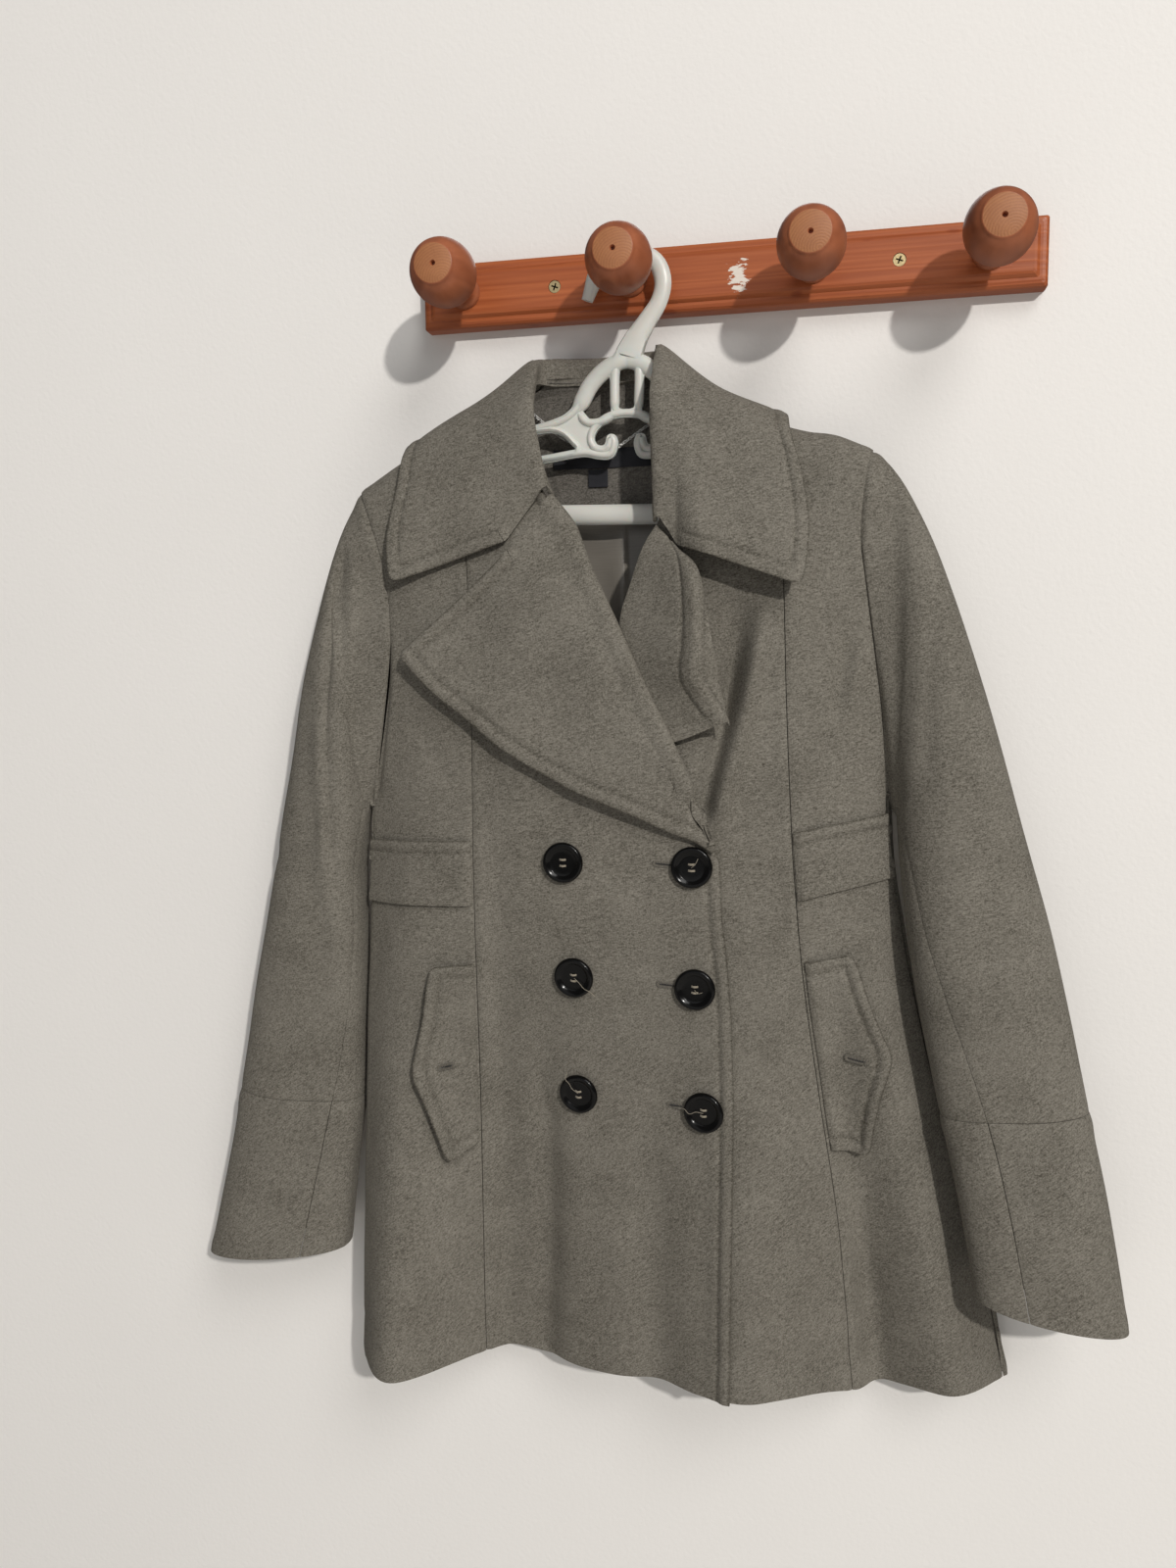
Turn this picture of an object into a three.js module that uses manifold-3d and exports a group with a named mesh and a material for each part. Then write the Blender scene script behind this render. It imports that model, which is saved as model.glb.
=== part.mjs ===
// A double-breasted wool coat, buttoned, on a plastic hanger that hangs from the second peg of a
// wooden peg rail. Millimetres. X runs to the right as seen from the front, Y runs into the wall,
// Z is up. The origin is the centre of the rail's back face, on the wall plane Y = 0.
// "Depth" in the tables is the distance out from the wall, so y = -depth.
import * as THREE from "three";
import { mergeVertices } from "three/addons/utils/BufferGeometryUtils.js";
import Module from "manifold-3d";

const wasm = await Module();
wasm.setup();

// ---------------------------------------------------------------- driving dimensions
const CLOTH = 2.5; // wall of the wool shell
const SEAM = 0.35; // gap between two pieces at a seam
const PLY = 0.8; // gap between a piece and the one it lies on
const FRONT_PLY = 1.3; // the same between the two fronts
const TILT = 0.034; // the coat hangs with its right side higher: rise per mm of x
const TILT_X = -290; // x at which the tilt is zero
const HANGER_Y = -33; // plane of the hanger and of the shoulder seams

const RAIL = { length: 455, height: 48, thick: 18 };
const PEG_X = [-193, -65, 67, 188];
const PEG_BALL_R = 23.4;
const SCREW_X = [-123, 127];

const BUTTON_R = 15.2;
const BUTTONS = [
  { name: "button_left_top", x: -109, z: -426 },
  { name: "button_left_middle", x: -102, z: -513 },
  { name: "button_left_bottom", x: -100.5, z: -605.5 },
  { name: "button_right_top", x: -14, z: -427.5 },
  { name: "button_right_middle", x: -11, z: -517 },
  { name: "button_right_bottom", x: -3.5, z: -609.5 },
];

// Shoulder line with the neck between: [x, z].
const SHOULDER = [
  [-275, -149], [-251, -134], [-227, -121], [-207, -109.5], [-180, -95], [-151, -78], [-138, -71],
  [-115, -68], [-89, -68], [-60, -67], [-33, -66], [-17, -78], [0, -90], [19, -102], [43, -112],
  [55, -118], [87, -124], [111, -135],
];

// Front of the body. Each row is one level; follow says how far the row follows the shoulder line
// (drop mm below it), z is its height elsewhere. Each station is [x, depth] of the cloth's inside.
const FRONT = [
  { follow: 1, drop: 0, z: 0, armL: [-274, 34], sideL: [-235, 34], princessL: [-196, 34],
    valleyL: [-165, 34], midL: [-118, 34], lapL: [-80, 34], edge: [-40, 34], midR: [-5, 34],
    princessR: [42, 34], valleyR: [62, 34], lobeR: [85, 34], armR: [110, 34] },
  { follow: 1, drop: 6, z: 0, armL: [-271, 42], sideL: [-233, 43], princessL: [-194, 43],
    valleyL: [-164, 43], midL: [-118, 43], lapL: [-80, 43], edge: [-40, 43], midR: [-4, 43],
    princessR: [43, 43], valleyR: [63, 43], lobeR: [85, 43], armR: [108, 42] },
  { follow: 1, drop: 22, z: 0, armL: [-265, 48], sideL: [-229, 50], princessL: [-191, 51],
    valleyL: [-162, 51], midL: [-118, 51], lapL: [-80, 51], edge: [-36, 51], midR: [-2, 51],
    princessR: [45, 51], valleyR: [64, 50], lobeR: [85, 49], armR: [105, 47] },
  { follow: 0.5, drop: 78, z: -196, armL: [-253, 50], sideL: [-221, 54], princessL: [-185, 56],
    valleyL: [-158, 57], midL: [-114, 58], lapL: [-72, 58], edge: [-26, 58], midR: [8, 58],
    princessR: [48, 56], valleyR: [66, 55], lobeR: [85, 52], armR: [102, 48] },
  { follow: 0, drop: 0, z: -252, armL: [-248, 50], sideL: [-218, 56], princessL: [-182, 60],
    valleyL: [-155, 62], midL: [-108, 63], lapL: [-62, 62], edge: [-16, 61], midR: [16, 60],
    princessR: [50, 60], valleyR: [69, 57], lobeR: [89, 52], armR: [108, 47] },
  { follow: 0, drop: 0, z: -322, armL: [-257, 46], sideL: [-221, 57], princessL: [-181, 63],
    valleyL: [-153, 65], midL: [-100, 66], lapL: [-50, 65], edge: [0, 64], midR: [27, 62],
    princessR: [52, 62], valleyR: [72, 58], lobeR: [95, 51], armR: [118, 42] },
  { follow: 0, drop: 0, z: -390, armL: [-270, 40], sideL: [-228, 58], princessL: [-181, 65],
    valleyL: [-153, 67], midL: [-96, 68], lapL: [-48, 68], edge: [6, 67], midR: [31, 65],
    princessR: [55, 64], valleyR: [75, 60], lobeR: [98, 52], armR: [122, 38] },
  { follow: 0, drop: 0, z: -444, armL: [-273, 38], sideL: [-232, 60], princessL: [-181, 67],
    valleyL: [-154, 66], midL: [-94, 68], lapL: [-46, 68], edge: [9, 68], midR: [34, 66],
    princessR: [58, 64], valleyR: [78, 59], lobeR: [102, 51], armR: [127, 36] },
  { follow: 0, drop: 0, z: -522, armL: [-277, 42], sideL: [-238, 65], princessL: [-181.5, 64],
    valleyL: [-155, 60], midL: [-91, 66], lapL: [-44, 68], edge: [12, 71], midR: [40, 68],
    princessR: [65, 62], valleyR: [85, 56], lobeR: [112, 50], armR: [140, 32] },
  { follow: 0, drop: 0, z: -612, armL: [-281, 45], sideL: [-243, 72], princessL: [-183, 57],
    valleyL: [-156, 50], midL: [-87, 60], lapL: [-43, 63], edge: [14, 73], midR: [46, 69],
    princessR: [77, 56], valleyR: [97, 47], lobeR: [130, 48], armR: [160, 29] },
  { follow: 0, drop: 0, z: -702, armL: [-284, 48], sideL: [-247, 79], princessL: [-186, 49],
    valleyL: [-156, 39], midL: [-85, 54], lapL: [-42, 57], edge: [15, 75], midR: [49, 70],
    princessR: [90, 49], valleyR: [110, 37], lobeR: [150, 47], armR: [183, 25] },
  { follow: 0, drop: 0, z: -780, armL: [-287, 50], sideL: [-250, 85], princessL: [-189, 41],
    valleyL: [-157, 29], midL: [-84, 50], lapL: [-42, 54], edge: [15, 76], midR: [51, 69],
    princessR: [98, 43], valleyR: [120, 28], lobeR: [167, 46], armR: [203, 19] },
  { follow: 0, drop: 0, z: -846.5, armL: [-288, 52], sideL: [-252, 88], princessL: [-191, 34],
    valleyL: [-158, 22], midL: [-84, 47], lapL: [-42, 51], edge: [15, 76], midR: [52, 67],
    princessR: [103, 38], valleyR: [128, 22], lobeR: [178, 45], armR: [216, 15] },
];
const FRONT_STATIONS = ["armL", "sideL", "princessL", "valleyL", "midL", "lapL", "edge", "midR",
  "princessR", "valleyR", "lobeR", "armR"];
const ST_PRINCESS_L = 2, ST_PRINCESS_R = 8, ST_LAST = 11;
const UNDERARM_ROW = 6;

// Back of the body, same rows. turnL and turnR round the sides; below the underarm the two ends
// are the front's own ends, above it they are the back edge of the armhole.
const BACK = [
  { armR: [110, 32], turnR: [90, 32], blade: [40, 32], neckR: [-28, 29], centre: [-88, 19],
    neckL: [-140, 29], bladeL: [-200, 32], turnL: [-250, 32], armL: [-274, 32] },
  { armR: [108, 25], turnR: [88, 23], blade: [40, 22], neckR: [-28, 20], centre: [-88, 16],
    neckL: [-140, 20], bladeL: [-198, 22], turnL: [-248, 23], armL: [-271, 25] },
  { armR: [105, 21], turnR: [85, 18], blade: [40, 16], neckR: [-28, 15], centre: [-88, 14],
    neckL: [-140, 15], bladeL: [-196, 16], turnL: [-243, 18], armL: [-265, 21] },
  { armR: [102, 20], turnR: [82, 15], blade: [38, 13], neckR: [-28, 13], centre: [-86, 13],
    neckL: [-140, 13], bladeL: [-194, 13], turnL: [-233, 15], armL: [-254, 20] },
  { armR: [106, 20], turnR: [84, 14], blade: [38, 12], neckR: [-26, 12], centre: [-84, 13],
    neckL: [-140, 12], bladeL: [-192, 12], turnL: [-229, 14], armL: [-250, 20] },
  { armR: [116, 24], turnR: [96, 14], blade: [44, 11], neckR: [-22, 11], centre: [-80, 12],
    neckL: [-138, 11], bladeL: [-194, 11], turnL: [-238, 14], armL: [-258, 24] },
  { turnR: [117, 16], blade: [52, 11], neckR: [-18, 11], centre: [-76, 12], neckL: [-138, 11],
    bladeL: [-200, 11], turnL: [-265, 16] },
  { turnR: [121, 16], blade: [56, 11], neckR: [-16, 11], centre: [-74, 13], neckL: [-138, 11],
    bladeL: [-203, 11], turnL: [-267, 16] },
  { turnR: [133, 15], blade: [62, 11], neckR: [-12, 11], centre: [-70, 12], neckL: [-138, 11],
    bladeL: [-206, 11], turnL: [-270, 17] },
  { turnR: [152, 14], blade: [76, 10], neckR: [-6, 11], centre: [-64, 11], neckL: [-136, 10],
    bladeL: [-210, 11], turnL: [-274, 17] },
  { turnR: [174, 13], blade: [92, 9], neckR: [0, 11], centre: [-58, 10], neckL: [-134, 9],
    bladeL: [-214, 11], turnL: [-277, 17] },
  { turnR: [196, 11], blade: [106, 8], neckR: [6, 12], centre: [-54, 9], neckL: [-132, 8],
    bladeL: [-218, 11], turnL: [-280, 17] },
  { turnR: [210, 9], blade: [116, 8], neckR: [10, 12], centre: [-50, 9], neckL: [-131, 8],
    bladeL: [-220, 11], turnL: [-281, 17] },
];
const BACK_STATIONS = ["armR", "turnR", "blade", "neckR", "centre", "neckL", "bladeL", "turnL",
  "armL"];
const ST_BACK_CENTRE = 4, ST_BACK_LAST = 8;

// Free edge of the left front: neck edge, roll line, then the buttoned edge. [x, z]
const LEFT_FRONT_EDGE = [
  [-138, -68], [-134, -120], [-125, -154], [-101, -184], [-89, -217], [-71, -254], [-53, -293],
  [-34, -331], [-16, -368], [-7, -393], [6, -424], [8, -466], [12, -500], [15, -536], [17, -600],
  [17, -656], [16, -740], [15, -850],
];
// Free edge of the right front, buttoned under: neck edge, roll line, hidden edge. [x, z]
const RIGHT_FRONT_EDGE = [
  [-29, -62], [-30, -100], [-36, -150], [-39, -181], [-46, -192], [-57, -222], [-70, -254], [-100, -340],
  [-129, -425], [-128, -600], [-127, -850],
];

// Left lapel, from the gorge down to the break. Each row crosses from the roll line to the edge.
const LEFT_LAPEL = [
  { roll: [-120, -162], mid: [-149, -200], edge: [-234, -272], puff: 3 },
  { roll: [-108, -178], mid: [-147, -226], edge: [-207, -300], puff: 4 },
  { roll: [-89, -217], mid: [-126, -262], edge: [-177, -322], puff: 5 },
  { roll: [-71, -254], mid: [-101, -292], edge: [-147, -345], puff: 5 },
  { roll: [-53, -293], mid: [-77, -324], edge: [-106, -367], puff: 4 },
  { roll: [-34, -331], mid: [-48, -355], edge: [-62, -386], puff: 3 },
  { roll: [-16, -368], mid: [-22, -384], edge: [-28, -402], puff: 2 },
  { roll: [-5, -395], mid: [-8, -402], edge: [-12, -408.5], puff: 1 },
  { roll: [3, -411], mid: [2, -413.5], edge: [1, -417], puff: 0.5 },
];
// Right lapel: curled up along its edge, its lower part tucked under the left front.
const RIGHT_LAPEL = [
  { roll: [-40, -183], mid: [-33, -191], edge: [-25, -201], rise: 4 },
  { roll: [-50, -200], mid: [-33, -205], edge: [-15, -214], rise: 12 },
  { roll: [-58, -223], mid: [-37, -232], edge: [-12, -241], rise: 17 },
  { roll: [-66, -250], mid: [-41, -260], edge: [-12, -268], rise: 18 },
  { roll: [-63, -279], mid: [-41, -285], edge: [-13, -292], rise: 15 },
  { roll: [-57, -310], mid: [-34, -311], edge: [-4, -306], rise: 11 },
  { roll: [-44, -340], mid: [-22, -336], edge: [9, -323], rise: 8 },
];

// Collar, row by row from the left front end round the back of the neck to the right front end.
// Each row crosses neck seam, inside of the fold, outside of the fold, middle and outer edge.
// Rows marked lie on the front: [x, z, height above the front's inside]. Others are [x, y, z].
const COLLAR = [
  { on: "front", neck: [-117, -156, 7], foldIn: [-119, -153.5, 10.5], foldOut: [-125, -151, 13],
    mid: [-151, -192, 10.5], edge: [-240.5, -219, 7] },
  { on: "front", neck: [-129.5, -130, 3], foldIn: [-125.5, -127, 11], foldOut: [-131, -125, 15],
    mid: [-176, -158, 11], edge: [-243, -187, 7.5] },
  { on: "front", neck: [-133, -104, 3], foldIn: [-129.5, -99, 13], foldOut: [-135, -97, 16],
    mid: [-180, -125, 12], edge: [-236, -152, 9] },
  { on: "xyz", neck: [-135.5, -42, -86], foldIn: [-132, -45, -70], foldOut: [-137, -47, -65],
    mid: [-182, -52, -95], edge: [-232, -55, -124] },
  { on: "xyz", neck: [-136, -31, -67], foldIn: [-132.5, -31, -61.5], foldOut: [-139, -31, -58.5],
    mid: [-181, -32, -89], edge: [-228, -33, -113.5] },
  { on: "xyz", neck: [-123, -21, -66], foldIn: [-126, -21, -58], foldOut: [-130, -12, -55.5],
    mid: [-166, -7, -87.5], edge: [-204, -6.5, -120] },
  { on: "xyz", neck: [-104, -17.5, -66], foldIn: [-106, -17, -58], foldOut: [-107, -8.5, -55],
    mid: [-120, -3.5, -88], edge: [-134, -5, -134] },
  { on: "xyz", neck: [-88, -17.5, -66], foldIn: [-88, -17, -58], foldOut: [-88, -8, -55.5],
    mid: [-88, -3.5, -90], edge: [-88, -5, -138] },
  { on: "xyz", neck: [-70, -18, -65.5], foldIn: [-70, -17, -57.5], foldOut: [-68, -8.5, -54.5],
    mid: [-56, -3.5, -88], edge: [-42, -5, -134] },
  { on: "xyz", neck: [-44, -22, -63], foldIn: [-47, -21, -57], foldOut: [-44, -12, -54],
    mid: [-9, -7, -82.5], edge: [26, -5.5, -113] },
  { on: "xyz", neck: [-33, -31, -62], foldIn: [-43, -31, -57.5], foldOut: [-39, -31, -53],
    mid: [3, -32, -84], edge: [47.5, -33, -105.5] },
  { on: "xyz", neck: [-32, -44.5, -76], foldIn: [-41.5, -45.5, -69], foldOut: [-38, -47.5, -64.5],
    mid: [5, -52, -96], edge: [53, -55, -122] },
  { on: "front", neck: [-33.5, -104, 4], foldIn: [-42, -100, 11], foldOut: [-38, -97, 16],
    mid: [7, -132, 12], edge: [61, -152, 9] },
  { on: "front", neck: [-38.5, -142, 4], foldIn: [-42, -138, 10], foldOut: [-36, -135, 15],
    mid: [10, -172, 12], edge: [66, -190, 8] },
  { on: "front", neck: [-44, -178, 6], foldIn: [-43.5, -177, 10], foldOut: [-38, -177, 12],
    mid: [-24, -198, 11], edge: [62, -229, 8] },
];

// Pocket flaps: from the princess seam out to the shaped edge. Columns: z at the seam, outer edge.
const POCKET_LEFT = [
  { z: -508, edge: [-213, -511] }, { z: -514, edge: [-217, -517] }, { z: -545, edge: [-222, -549] },
  { z: -570, edge: [-228, -575] }, { z: -590, edge: [-231, -596] }, { z: -611, edge: [-224, -619] },
  { z: -634, edge: [-217, -644] }, { z: -648, edge: [-213, -660] }, { z: -654, edge: [-209, -665] },
];
const POCKET_RIGHT = [
  { z: -497, edge: [95, -492] }, { z: -503, edge: [101, -497] }, { z: -528, edge: [110, -525] },
  { z: -550, edge: [119, -550] }, { z: -568, edge: [125.5, -570] }, { z: -596, edge: [122, -600] },
  { z: -620, edge: [119.5, -624] }, { z: -636, edge: [118, -639] }, { z: -642, edge: [113, -643.5] },
];
// Waist tabs on the side fronts: top and bottom height at the princess seam and at the side.
const WAIST_LEFT = { topSeam: -412.5, topSide: -417, lowSeam: -462.5, lowSide: -467 };
const WAIST_RIGHT = { topSeam: -402, topSide: -390, lowSeam: -452, lowSide: -437 };

// Sleeves below the armhole. Each row is a flattened ring from its inner to its outer edge:
// inner and outer [x, z], centre depth, half depth, the place of the front and back seams as a
// share of the way from the inner edge to the outer edge, and a soft ridge down the front: its
// place as the same share, and its height.
const SLEEVE_LEFT = [
  { inner: [-275, -394], outer: [-288, -172], depth: 34, half: 19, seamF: 0.02, seamB: 0.02,
    ridge: 0.93, rise: 3 },
  { inner: [-277, -399], outer: [-301, -206], depth: 35, half: 22, seamF: 0.03, seamB: 0.05,
    ridge: 0.8, rise: 6 },
  { inner: [-279, -412], outer: [-321, -272], depth: 36, half: 24, seamF: 0.03, seamB: 0.1,
    ridge: 0.52, rise: 8 },
  { inner: [-282, -442], outer: [-337.5, -350], depth: 36, half: 26, seamF: 0.04, seamB: 0.16,
    ridge: 0.32, rise: 8 },
  { inner: [-282.5, -505], outer: [-358, -448], depth: 36, half: 27, seamF: 0.05, seamB: 0.22,
    ridge: 0.15, rise: 5 },
  { inner: [-285.5, -571], outer: [-377.5, -536], depth: 36, half: 27, seamF: 0.1, seamB: 0.27,
    ridge: 0.1, rise: 2 },
  { inner: [-289, -631], outer: [-396.5, -629], depth: 36, half: 27, seamF: 0.18, seamB: 0.3,
    ridge: 0.1, rise: 0 },
  { inner: [-297, -694], outer: [-411, -698], depth: 38, half: 27, seamF: 0.23, seamB: 0.3,
    ridge: 0.1, rise: 0 },
  { inner: [-305, -758], outer: [-430, -773], depth: 40, half: 28, seamF: 0.27, seamB: 0.3,
    ridge: 0.1, rise: 0 },
];
const SLEEVE_RIGHT = [
  { inner: [127, -388], outer: [124, -146], depth: 34, half: 20, seamF: 0.02, seamB: 0.02,
    ridge: 0.6, rise: 0 },
  { inner: [130, -393], outer: [139, -170], depth: 37, half: 25, seamF: 0.03, seamB: 0.05,
    ridge: 0.6, rise: 0 },
  { inner: [131, -404], outer: [160, -218], depth: 41, half: 29, seamF: 0.05, seamB: 0.1,
    ridge: 0.6, rise: 1 },
  { inner: [133, -430], outer: [190, -308], depth: 45, half: 31, seamF: 0.08, seamB: 0.16,
    ridge: 0.5, rise: 2 },
  { inner: [139, -480], outer: [217, -404], depth: 49, half: 31, seamF: 0.13, seamB: 0.22,
    ridge: 0.4, rise: 2 },
  { inner: [147, -530], outer: [239, -483], depth: 52, half: 29, seamF: 0.2, seamB: 0.27,
    ridge: 0.3, rise: 2 },
  { inner: [163, -606], outer: [264, -597], depth: 56, half: 26, seamF: 0.3, seamB: 0.3,
    ridge: 0.3, rise: 0 },
  { inner: [178, -675], outer: [279, -666], depth: 59, half: 25, seamF: 0.32, seamB: 0.3,
    ridge: 0.3, rise: 0 },
  { inner: [190, -740], outer: [295, -756], depth: 61, half: 26, seamF: 0.33, seamB: 0.3,
    ridge: 0.3, rise: 0 },
];
const CUFF_ROW = 7; // counted with the armhole as row 0

// Pieces inside the neck, lying on the back panels: rows of z, left edge and right edge.
const NECK_FACING = [
  { z: -76, left: -122, right: -50 }, { z: -82, left: -133, right: -40 },
  { z: -95, left: -146, right: -30 }, { z: -130, left: -150, right: -26 },
  { z: -164, left: -150, right: -26 },
];
const LINING = [
  { z: -165, left: -162, right: -12 }, { z: -248, left: -160, right: -10 },
  { z: -330, left: -158, right: -6 },
];
const NECK_LABEL = [{ z: -119.5, left: -126, right: -51 }, { z: -134, left: -126, right: -51 }];
const SIZE_TAB = [{ z: -135, left: -99, right: -84 }, { z: -148, left: -99, right: -84 }];
// Chain hang loop: [x, y, z].
const CHAIN = [
  [-141, -19.8, -92], [-121, -22.5, -109], [-111, -23, -115], [-93, -23, -122], [-78, -23, -121.5],
  [-70, -23, -117], [-61, -22.5, -111], [-50, -19.8, -103],
];

// Hanger in its own plane, about its centre line x = 0, then turned by its lean: [x, z].
const HANGER = { x: -65.5, thick: 8, lean: THREE.MathUtils.degToRad(-1.3) };
const HANGER_ARM_TOP = [[0, -50], [7, -52], [12.2, -58.5], [20.2, -65.6], [27.2, -71.7],
  [32.7, -79.5], [38.1, -89.2], [44.2, -96], [52.5, -100.3], [70.2, -105.1],
  [104, -112.5], [138, -121.5], [166, -130], [173, -134]];
const HANGER_ARM_LOW = [[173, -140], [165, -143.5], [138, -140.5], [104, -137], [66, -133.5],
  [38, -129.2], [28.8, -128.9]];
const HANGER_CURL = [[22.5, -130.3], [14, -131], [8.5, -128.5], [5.9, -121], [6.9, -115.1],
  [10.1, -112.7], [14, -113.8], [15.6, -119.4], [18.2, -120.9], [22, -119.5], [23.8, -114.9],
  [20.5, -108.6], [13, -103.3], [6, -101.4], [0, -101]];
const HANGER_SIDE_SLOT = [[16, -70.5], [12.8, -73], [11.4, -96.4], [14.1, -100.8], [20.1, -103.9],
  [25.3, -103.3], [32.3, -96.1], [32.9, -92.2], [24, -76.7], [20, -71.9]];
const HANGER_CENTRE_SLOT = [[-6, -69], [-3, -65.6], [3, -65.6], [6, -69], [6.2, -91], [3.5, -94.9],
  [-3.5, -94.9], [-6.2, -91]];
const HANGER_ARM_GAP = [[57.5, -110.7], [104, -119], [143, -129.5], [104, -131.5], [66.5, -128],
  [41.4, -124.2], [40.4, -120.7]];
const HOOK = [[-31.5, -16], [-30.5, -4.5], [-24.5, 7.2], [-13.5, 13.8], [-0.5, 15.3], [12.5, 13.2],
  [22.5, 5.6], [26.5, -7], [23.5, -20.5], [14.5, -34], [6, -46], [1, -58]];
const HOOK_SECTION = { wide: 12.4, deep: 8 };
const TROUSER_BAR = [[-160, -135], [-160, -151], [-154, -165], [-140, -171], [-60, -171],
  [60, -171], [140, -171], [154, -165], [160, -151], [160, -135]];
const BAR_SECTION = { wide: 15, deep: 8 };

// ---------------------------------------------------------------- looks
const LOOK = {
  wool: [0x6f6d68, 0.95, 0], lining: [0x77757a, 0.45, 0], label: [0x1d2233, 0.8, 0],
  plastic: [0xe8e6e2, 0.35, 0], pine: [0xa5552a, 0.5, 0], button: [0x121113, 0.22, 0],
  steel: [0xb9b4a4, 0.35, 1], chain: [0x5a5a5c, 0.35, 1],
};

const group = new THREE.Group(); // the rail, its pegs and its screws
const hung = new THREE.Group(); // the hanger and the coat
group.add(hung);

function add(name, geometry, look, parent = hung) {
  const [color, roughness, metalness] = LOOK[look];
  const mesh = new THREE.Mesh(geometry,
    new THREE.MeshStandardMaterial({ color, roughness, metalness }));
  mesh.name = name;
  parent.add(mesh);
}

// ---------------------------------------------------------------- curves and surfaces
const clamp = (v, low, high) => Math.min(high, Math.max(low, v));
const smooth = (v) => { const t = clamp(v, 0, 1); return t * t * (3 - 2 * t); };
const lerp = (a, b, t) => a + (b - a) * t;

// Catmull-Rom value at t (0 .. n - 1) through an array of numbers or of Vector3.
function spline(values, t) {
  const last = values.length - 1;
  const k = clamp(Math.floor(t), 0, last - 1), f = clamp(t - k, 0, 1);
  const p = [k - 1, k, k + 1, k + 2].map((i) => values[clamp(i, 0, last)]);
  const w = [-0.5 * f + f * f - 0.5 * f ** 3, 1 - 2.5 * f * f + 1.5 * f ** 3,
    0.5 * f + 2 * f * f - 1.5 * f ** 3, -0.5 * f * f + 0.5 * f ** 3];
  if (typeof p[0] === "number") return p.reduce((sum, v, i) => sum + v * w[i], 0);
  return p.reduce((sum, v, i) => sum.addScaledVector(v, w[i]), new THREE.Vector3());
}

// Straight-line reading of a list of [key, value] pairs.
function lookup(pairs, key) {
  const rising = pairs[pairs.length - 1][0] > pairs[0][0];
  const inside = (a, b) => (rising ? key >= a && key <= b : key <= a && key >= b);
  for (let i = 0; i + 1 < pairs.length; i++)
    if (inside(pairs[i][0], pairs[i + 1][0])) {
      const t = (key - pairs[i][0]) / (pairs[i + 1][0] - pairs[i][0]);
      return lerp(pairs[i][1], pairs[i + 1][1], t);
    }
  const below = rising ? key < pairs[0][0] : key > pairs[0][0];
  return below ? pairs[0][1] : pairs[pairs.length - 1][1];
}
const edgeX = (edge, z) => lookup(edge.map(([x, height]) => [height, x]), z);

function rowHeight(row, x) {
  const level = row.z + TILT * (x - TILT_X);
  return lerp(level, lookup(SHOULDER, x) - row.drop, row.follow);
}

const frontGrid = FRONT.map((row) => FRONT_STATIONS.map((name) => {
  const [x, depth] = row[name];
  return new THREE.Vector3(x, -depth, rowHeight(row, x));
}));
const backGrid = BACK.map((row, i) => BACK_STATIONS.map((name, k) => {
  if (!row[name]) return (k === 0 ? frontGrid[i][ST_LAST] : frontGrid[i][0]).clone();
  const [x, depth] = row[name];
  return new THREE.Vector3(x, -depth, rowHeight(FRONT[i], x));
}));

// A point of the inside surface of the body; s counts stations, v counts rows.
function surfacePoint(grid, s, v) {
  return spline(grid.map((row) => spline(row, s)), v);
}
function localGrid(grid, v) {
  const k = clamp(Math.floor(v), 0, grid.length - 2);
  const from = Math.max(0, k - 1), to = Math.min(grid.length, k + 3);
  return { rows: grid.slice(from, to), from };
}
// The same, moved out by h along the surface normal, which points away from the hollow.
function shell(grid, s, v, h) {
  const { rows, from } = localGrid(grid, v);
  const at = (a, b) => surfacePoint(rows, a, b - from);
  const step = 0.02;
  const maxS = grid[0].length - 1, maxV = grid.length - 1;
  const point = at(s, v);
  const along = at(Math.min(s + step, maxS), v).sub(at(Math.max(s - step, 0), v));
  const down = at(s, Math.min(v + step, maxV)).sub(at(s, Math.max(v - step, 0)));
  return point.addScaledVector(down.cross(along).normalize(), h);
}
const front = (s, v, h) => shell(frontGrid, s, v, h);
const back = (s, v, h) => shell(backGrid, s, v, h);

// Station where a row of the grid meets an edge given as x over z.
function stationAt(grid, v, xOf) {
  const { rows, from } = localGrid(grid, v);
  let low = 0, high = grid[0].length - 1;
  const sign = grid === frontGrid ? 1 : -1;
  for (let i = 0; i < 26; i++) {
    const s = (low + high) / 2, p = surfacePoint(rows, s, v - from);
    if ((p.x - xOf(p.z)) * sign < 0) low = s; else high = s;
  }
  return (low + high) / 2;
}
// Station and row of the front or back at a given x and z.
function locate(grid, x, z) {
  let low = 0, high = grid.length - 1, s = 0;
  for (let i = 0; i < 20; i++) {
    const v = (low + high) / 2;
    s = stationAt(grid, v, () => x);
    const { rows, from } = localGrid(grid, v);
    if (surfacePoint(rows, s, v - from).z > z) low = v; else high = v;
  }
  const v = (low + high) / 2;
  return [stationAt(grid, v, () => x), v];
}
const onFront = (x, z, h) => front(...locate(frontGrid, x, z), h);
const onBack = (x, z, h) => back(...locate(backGrid, x, z), h);

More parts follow.
